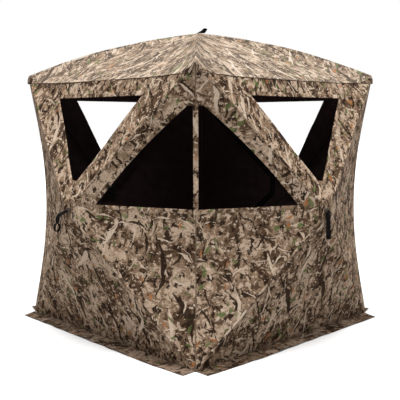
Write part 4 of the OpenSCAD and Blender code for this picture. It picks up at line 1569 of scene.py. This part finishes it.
def strap_route(run, reach, girth):
    """A strap's closed middle line, down and out from its bar: over the bar, down, round a loop and up."""
    eye = BAR_RADIUS + EYE_OFF
    over = np.radians(np.linspace(-90, 90, 11))
    lip = math.asin(LAYER_OFF / girth)
    turn = np.linspace(lip, 2 * math.pi - lip, 30)
    fall = np.linspace(0.1, 0.97, 10)
    ease = LAYER_OFF + (eye - LAYER_OFF) * (1 - fall) ** 4
    middle = run + reach * math.cos(lip)
    down = np.concatenate([-eye * np.cos(over), run * fall, middle - reach * np.cos(turn), run * fall[::-1]])
    out = np.concatenate([eye * np.sin(over), ease, girth * np.sin(turn), -ease[::-1]])
    return down, out


def bent(down, out, lean, droop, run):
    """A strap's line bent outwards: it leaves the bar at one angle to the vertical and droops to another."""
    steps = np.linspace(0, down.max() + 1e-6, 200)
    angle = np.radians(lean + (droop - lean) * eased((steps / run - 0.4) / 0.4))
    step = steps[1] - steps[0]
    axis_down = np.concatenate([[0], np.cumsum(np.cos(angle[:-1]) * step)])
    axis_out = np.concatenate([[0], np.cumsum(np.sin(angle[:-1]) * step)])
    at = np.clip(down, 0, None)
    turn = np.interp(at, steps, angle)
    early = np.minimum(down, 0)
    moved_down = np.interp(at, steps, axis_down) - out * np.sin(turn) + early * np.cos(turn)
    moved_out = np.interp(at, steps, axis_out) + out * np.cos(turn) + early * np.sin(turn)
    return moved_down, moved_out


def closed_up(mesh):
    """Merges and fills the ends of a shape and turns its faces outwards."""
    work = bmesh.new()
    work.from_mesh(mesh)
    bmesh.ops.remove_doubles(work, verts=work.verts, dist=1e-6)
    bmesh.ops.holes_fill(work, edges=[edge for edge in work.edges if edge.is_boundary])
    bmesh.ops.recalc_face_normals(work, faces=work.faces)
    work.to_mesh(mesh)
    work.free()
    smooth(mesh)


# Run of sewn webbing, half length and half girth of the hand loop, the strap's angles at the bar and at the
# loop, and its twist along the run and at the loop
STRAPS = {
    "front": (0.1, 0.022, 0.0155, 71, 6, -25, 4),
    "right": (0.1, 0.025, 0.006, 5, 2, 30, 38),
    "back": (0.098, 0.023, 0.012, 70, 10, 10, -12),
    "left": (0.1, 0.025, 0.006, 7, 3, 10, 18),
    "roof": (0.024, 0.02, 0.0085, 44, 76, -4, -38),
}
# Rows of a strap's middle line at which it is split into its run and its eye round the bar, and those that
# carry its stitches
FOLD_ROWS = (13, 58)
TACK_ROWS = (14, 16, 18, 20)
# How far stitches stand off webbing and the door's cloth
THREAD_LIFT = 0.0003


def strap_surface(place, shape, across, lift):
    """Points of a strap in rows along its middle line, at distances across it and off its middle."""
    run, reach, girth, lean, droop, run_twist, loop_twist = shape
    line = np.stack(strap_route(run, reach, girth), axis=1)
    ahead = np.roll(line, -1, axis=0) - np.roll(line, 1, axis=0)
    ahead /= np.linalg.norm(ahead, axis=1, keepdims=True)
    down = line[:, :1] - ahead[:, 1:] * lift
    out = line[:, 1:] + ahead[:, :1] * lift
    turn = run_twist * eased(down / (0.6 * run))
    turn = np.radians(turn + (loop_twist - run_twist) * eased((down - 0.8 * run) / reach))
    aside = across * np.cos(turn) - out * np.sin(turn)
    out = across * np.sin(turn) + out * np.cos(turn)
    down, out = bent(down, out, lean, droop, run)
    rows = [[tuple(place @ Vector(p)) for p in zip(a, -d, o)] for a, d, o in zip(aside, down, out)]
    return rows, np.concatenate([[0], np.cumsum(np.linalg.norm(np.diff(line, axis=0), axis=1))])


class BLIND_OT_pull_straps(bpy.types.Operator):
    """Loops a black webbing pull strap round the bar of each hub plate"""

    bl_idname = "blind.pull_straps"
    bl_label = "Pull straps"

    def execute(self, context):
        form = blind_form()
        sewing = context.scene.blind_sewing
        half, thick = sewing.strap_width / 2, sewing.webbing / 2
        soft = thick * 0.7
        inner, low = half - soft, thick - soft
        across = np.array([-half, -inner, inner, half, half, inner, -inner, -half, -half])
        lift = np.array([-low, -thick, -thick, -low, low, thick, thick, low, -low])
        sewn = np.linspace(-half * 0.8, half * 0.8, 8)
        first, last = FOLD_ROWS
        for side, name in enumerate((*SIDES, "roof")):
            pop = form.roof_pop if side == ROOF else form.wall_pop
            place = side_frame(form, side) @ Matrix.Translation((0, 0, pop + BAR_OUT))
            if side == ROOF:
                place = place @ Matrix.Rotation(math.radians(-90), 4, "X")
            rows, lengths = strap_surface(place, STRAPS[name], across, lift)
            maps = [[(a, along) for a in across] for along in lengths]
            order = list(range(len(rows)))
            parts = {
                f"{name}_webbing": order[first:last + 1],
                f"{name}_webbing_eye": order[last:] + order[:first + 1],
            }
            pieces = []
            for label, chosen in parts.items():
                strip = [rows[i] for i in chosen], [maps[i] for i in chosen], False
                pieces.append(new_piece(label, strips_mesh(label, [strip], (finish_of("ribbed_webbing"),))))
                closed_up(pieces[-1].data)
            over = np.full_like(sewn, thick + THREAD_LIFT)
            thread_rows, _ = strap_surface(place, STRAPS[name], sewn, over)
            tacks = [np.array(thread_rows[i]) for i in TACK_ROWS]
            stitches = stitched(f"{name}_webbing_stitches", tacks, "black_thread")
            for piece in (*pieces, stitches):
                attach(piece, f"{name}_strap")
            for piece in (pieces[0], stitches):
                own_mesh(piece)
            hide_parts(f"pull_strap_{name}")
        return {"FINISHED"}


# Gap between the door's pieces, and between its cloth and the sewn edge
DOOR_GAP = 0.0003
DOOR_HINGE_GAP = 0.0036
# How far the door's cloth and the zip tape lie below the plane of the gore
DOOR_SINK = 0.0003
ZIP_SINK = 0.0002
# Where the hem of the door is stitched: inside the zip, and from the sewn edge
DOOR_HEM = 0.008
DOOR_HEM_NEAR = 0.006
# The hinge strip: how far it ends inside the sewn edge, its span across that edge, and its gap to the cloth
HINGE_SHORT = 0.004
HINGE_SPAN = (-0.012, 0.016)
HINGE_GAP = 0.0012
# Across the zip tape, in its widths: the spans of its two flanges, and its stitched lines
ZIP_FLANGES = ((-0.42, -0.02), (1.02, 1.3))
ZIP_STITCHES = (0.14, 0.86)
# Thickness of the tape, and the gap between its flanges and the cloth over them
ZIP_THICK = 0.001
ZIP_FLANGE_GAP = 0.0004
# Size of a zip tooth, how far its row lies from the tape's middle, and its height off the gore's plane
TOOTH_SIZE = {"Length": 0.0022, "Width": 0.0034, "Height": 0.002}
TOOTH_ASIDE = 0.0011
TOOTH_LIFT = 0.0004


class BLIND_OT_door(bpy.types.Operator):
    """Hangs the zipped door in the back wall, with its tape, teeth and stitches"""

    bl_idname = "blind.door"
    bl_label = "Door"

    def execute(self, context):
        form = blind_form()
        openings = context.scene.blind_openings
        sewing = context.scene.blind_sewing
        ring = door_outline(openings, openings.zip_width + 2 * DOOR_GAP, DOOR_HINGE_GAP)
        flat, faces = triangulate(dense(ring[::-1], sewing.grid, True), [], [], sewing.grid)
        edge = clear_of(flat, ring, np.roll(ring, -1, axis=0))
        still = np.clip((edge - 0.01) / 0.06, 0, 1)
        waves = 0.5 * sewing.crease * ripple(flat[:, 0], flat[:, 1], 0.3, 80)
        points = door_place(form, flat, still * waves - DOOR_SINK)
        cloth = finish_of("wall_print"), finish_of("dark_lining")
        mesh = new_mesh("door_cloth", points, faces[:, ::-1], cloth)
        set_uv(mesh, flat[faces[:, ::-1]].reshape(-1, 2) * (-1, 1) + (3.3, 5.1))
        panel = thicken(new_piece("door_cloth", mesh), sewing.cloth)
        hem = dense(door_outline(openings, openings.zip_width + DOOR_HEM, DOOR_HEM_NEAR), SEAM_STEP, True)
        seam = stitched("door_stitches", [door_place(form, np.vstack([hem, hem[:1]]), THREAD_LIFT)])
        for piece in (panel, seam):
            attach(piece, "door")
        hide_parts("door_panel")
        self.hinge(form, openings, sewing)
        self.zip(form, openings, sewing)
        paint_nodes(("zip_slider_upper", "zip_slider_lower"), "dulled_zip")
        return {"FINISHED"}

    def hinge(self, form, openings, sewing):
        """A strip of cloth behind the door's sewn edge."""
        rise = openings.door_near_rise - HINGE_SHORT
        heights = np.linspace(rise, -rise, 60)
        asides = np.linspace(*HINGE_SPAN, 4)
        columns = [np.stack([np.full_like(heights, openings.door_near + a), heights], axis=1) for a in asides]
        rows = np.stack([door_place(form, flat, -sewing.cloth - HINGE_GAP) for flat in columns], axis=1)
        maps = np.stack([flat + (4.4, 1.9) for flat in columns], axis=1)
        mesh = strips_mesh("door_hinge", [(rows, maps, False)], (finish_of("dark_lining"),))
        strip = new_piece("door_hinge", mesh)
        smooth(mesh)
        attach(strip, "door_frame")

    def zip(self, form, openings, sewing):
        """The zip's tape, with a flange under the cloth on either side, its teeth and its stitches."""
        under = -sewing.cloth - ZIP_FLANGE_GAP
        outer, inner = ([(across, under) for across in flange] for flange in ZIP_FLANGES)
        columns = []
        for across, lift in outer + [(a, -ZIP_SINK) for a in np.linspace(0, 1, 7)] + inner:
            inset = DOOR_GAP + openings.zip_width * across
            line = dense(door_outline(openings, inset, DOOR_GAP), TRIM_STEP)
            columns.append((line, across * openings.zip_width, lift))
        count = min(len(line) for line, _, _ in columns)
        columns = [(resampled(line, count), across, lift) for line, across, lift in columns]
        rows = np.stack([door_place(form, line, lift) for line, _, lift in columns], axis=1)
        maps = [[(across, TRIM_STEP * i) for _, across, _ in columns] for i in range(count)]
        mesh = strips_mesh("zip_tape", [(rows[::-1], maps[::-1], False)], (finish_of("ribbed_webbing"),) * 2)
        tape = thicken(new_piece("zip_tape", mesh), ZIP_THICK, lined=False)
        middle = DOOR_GAP + openings.zip_width / 2
        teeth_lines = []
        for aside, start in ((-TOOTH_ASIDE, 0.0), (TOOTH_ASIDE, sewing.tooth_pitch / 2)):
            line = dense(door_outline(openings, middle + aside, DOOR_GAP + start), SEAM_STEP)
            teeth_lines.append(door_place(form, line, TOOTH_LIFT))
        sizes = {"Pitch": sewing.tooth_pitch, **TOOTH_SIZE}
        teeth = grown("zip_teeth", teeth_lines, "tooth_row", sizes, finish_of("dulled_zip"))
        insets = [DOOR_GAP + openings.zip_width * share for share in ZIP_STITCHES]
        lines = [dense(door_outline(openings, inset, DOOR_GAP), SEAM_STEP) for inset in insets]
        edges = [door_place(form, line, THREAD_LIFT) for line in lines]
        stitches = stitched("zip_tape_stitches", edges, "black_thread")
        for piece in (tape, teeth, stitches):
            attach(piece, "door_frame")
        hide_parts("door_zip_tape")


def resampled(line, count):
    """The same line through a given number of evenly spaced points."""
    run = np.concatenate([[0], np.cumsum(np.linalg.norm(np.diff(line, axis=0), axis=1))])
    at = np.linspace(0, run[-1], count)
    return np.stack([np.interp(at, run, line[:, i]) for i in range(2)], axis=1)


def paint_nodes(names, material):
    """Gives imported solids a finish."""
    for name in names:
        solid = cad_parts[name]
        solid.data.materials.clear()
        solid.data.materials.append(finish_of(material))


class BLIND_OT_frame_parts(bpy.types.Operator):
    """Finishes the hubs, pins, strap plates and poles"""

    bl_idname = "blind.frame_parts"
    bl_label = "Hubs and poles"

    def execute(self, context):
        hubs = (*SIDES, "roof")
        paint_nodes([f"hub_{name}" for name in hubs], "hub_moulding")
        paint_nodes([f"hub_pins_{name}" for name in hubs], "plated_steel")
        paint_nodes([f"strap_plate_{name}" for name in SIDES], "plate_moulding")
        paint_nodes(["strap_plate_roof"], "hub_moulding")
        paint_nodes([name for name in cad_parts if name.startswith("pole_")], "glass_fibre_rod")
        return {"FINISHED"}


def area_light(name, place, aim, size, power):
    lamp = bpy.data.lights.new(name, "AREA")
    lamp.shape = "DISK"
    lamp.size = size
    lamp.energy = power
    holder = bpy.data.objects.new(name, lamp)
    bpy.context.scene.collection.objects.link(holder)
    holder.location = place
    holder.rotation_euler = (Vector(aim) - Vector(place)).to_track_quat("-Z", "Y").to_euler()


def seen_white(nodes, links):
    """One where a ray comes straight from the camera or off a glossy or clear surface."""
    path = nodes.new("ShaderNodeLightPath")
    total = path.outputs["Is Camera Ray"]
    for name in ("Is Glossy Ray", "Is Transmission Ray"):
        either = nodes.new("ShaderNodeMath")
        either.operation = "MAXIMUM"
        links.new(total, either.inputs[0])
        links.new(path.outputs[name], either.inputs[1])
        total = either.outputs[0]
    return total


SENSOR_WIDTH = 36
# Place of the right hand front light as seen from the camera's side, what it aims at, and its size
FRONT_LIGHT = (2.8, -5.2, 2.4)
FRONT_AIM = (0, 0, 0.8)
FRONT_SIZE = 3.2
FLOOR_SIZE = 60
# Share of the light that the floor sends to the camera, and the share it throws up at the blind
FLOOR_SEEN = 0.92
FLOOR_THROWN = 0.46


class BLIND_OT_stage(bpy.types.Operator):
    """Sets the camera, the soft lights, the white surround and the floor"""

    bl_idname = "blind.stage"
    bl_label = "Stage"

    def execute(self, context):
        scene = context.scene
        stage = scene.blind_stage
        scene.view_settings.view_transform = "Standard"
        camera = bpy.data.objects.new("camera", bpy.data.cameras.new("camera"))
        scene.collection.objects.link(camera)
        camera.location = (
            math.sin(stage.turn) * stage.distance, -math.cos(stage.turn) * stage.distance, stage.height
        )
        camera.rotation_euler = (math.pi / 2 - stage.pitch, 0, stage.turn - stage.yaw)
        camera.data.lens = stage.lens
        camera.data.sensor_width = SENSOR_WIDTH
        scene.camera = camera
        self.surround(scene, stage)
        self.floor()
        across = Matrix.Rotation(stage.turn, 4, "Z")
        sky = bpy.data.lights.new("overhead", "SUN")
        sky.energy, sky.angle = stage.overhead, stage.overhead_spread
        holder = bpy.data.objects.new("overhead", sky)
        scene.collection.objects.link(holder)
        holder.rotation_euler = (stage.overhead_tilt, 0, stage.turn)
        aside, back, up = FRONT_LIGHT
        for way in (-1, 1):
            place = across @ Vector((aside * way, back, up))
            area_light(f"front_{way + 2}", place, FRONT_AIM, FRONT_SIZE, stage.front)
        return {"FINISHED"}

    def surround(self, scene, stage):
        world = bpy.data.worlds.new("surround")
        scene.world = world
        world.use_nodes = True
        nodes, links = world.node_tree.nodes, world.node_tree.links
        seen = nodes["Background"]
        seen.inputs["Color"].default_value = (1, 1, 1, 1)
        lit = nodes.new("ShaderNodeBackground")
        lit.inputs["Color"].default_value = (1, 1, 1, 1)
        lit.inputs["Strength"].default_value = stage.ambient
        mix = nodes.new("ShaderNodeMixShader")
        links.new(seen_white(nodes, links), mix.inputs[0])
        links.new(lit.outputs[0], mix.inputs[1])
        links.new(seen.outputs[0], mix.inputs[2])
        links.new(mix.outputs[0], nodes["World Output"].inputs[0])

    def floor(self):
        side = FLOOR_SIZE / 2
        corners = [(-side, -side, 0), (side, -side, 0), (side, side, 0), (-side, side, 0)]
        mesh = new_mesh("floor", corners, [(0, 1, 2, 3)])
        floor = new_piece("floor", mesh)
        paper = bpy.data.materials.new("pale_paper")
        paper.use_nodes = True
        nodes, links = paper.node_tree.nodes, paper.node_tree.links
        matt = nodes["Principled BSDF"]
        matt.inputs["Roughness"].default_value = 1
        matt.inputs["Specular IOR Level"].default_value = 0
        shade = nodes.new("ShaderNodeMix")
        shade.data_type = "RGBA"
        links.new(seen_white(nodes, links), shade.inputs[0])
        shade.inputs[6].default_value = (*[FLOOR_THROWN] * 3, 1)
        shade.inputs[7].default_value = (*[FLOOR_SEEN] * 3, 1)
        links.new(shade.outputs[2], matt.inputs["Base Color"])
        mesh.materials.append(paper)


OPERATORS = (
    BLIND_OT_stage,
    BLIND_OT_roof,
    BLIND_OT_walls,
    BLIND_OT_edges,
    BLIND_OT_skirt,
    BLIND_OT_corner_caps,
    BLIND_OT_corner_strap,
    BLIND_OT_pockets,
    BLIND_OT_pull_straps,
    BLIND_OT_door,
    BLIND_OT_frame_parts,
)
GROUPS = {
    "blind_shape": BlindShape,
    "blind_openings": BlindOpenings,
    "blind_sewing": BlindSewing,
    "blind_print": BlindPrint,
    "blind_stage": BlindStage,
}


class BLIND_PT_panel(bpy.types.Panel):
    """Lists the pieces of the blind in the order they are made"""

    bl_idname = "BLIND_PT_panel"
    bl_label = "Ground blind"
    bl_space_type = "VIEW_3D"
    bl_region_type = "UI"
    bl_category = "Blind"

    def draw(self, context):
        for operator in OPERATORS:
            self.layout.operator(operator.bl_idname)
        for key, group in GROUPS.items():
            box = self.layout.box()
            for name in group.__annotations__:
                box.prop(getattr(context.scene, key), name)


def register():
    for key, group in GROUPS.items():
        bpy.utils.register_class(group)
        setattr(bpy.types.Scene, key, PointerProperty(type=group))
    for operator in OPERATORS:
        bpy.utils.register_class(operator)
    bpy.utils.register_class(BLIND_PT_panel)


def unregister():
    bpy.utils.unregister_class(BLIND_PT_panel)
    for operator in reversed(OPERATORS):
        bpy.utils.unregister_class(operator)
    for key, group in reversed(GROUPS.items()):
        delattr(bpy.types.Scene, key)
        bpy.utils.unregister_class(group)


def main():
    register()
    for operator in OPERATORS:
        family, name = operator.bl_idname.split(".")
        getattr(getattr(bpy.ops, family), name)()


if __name__ == "__main__":
    main()
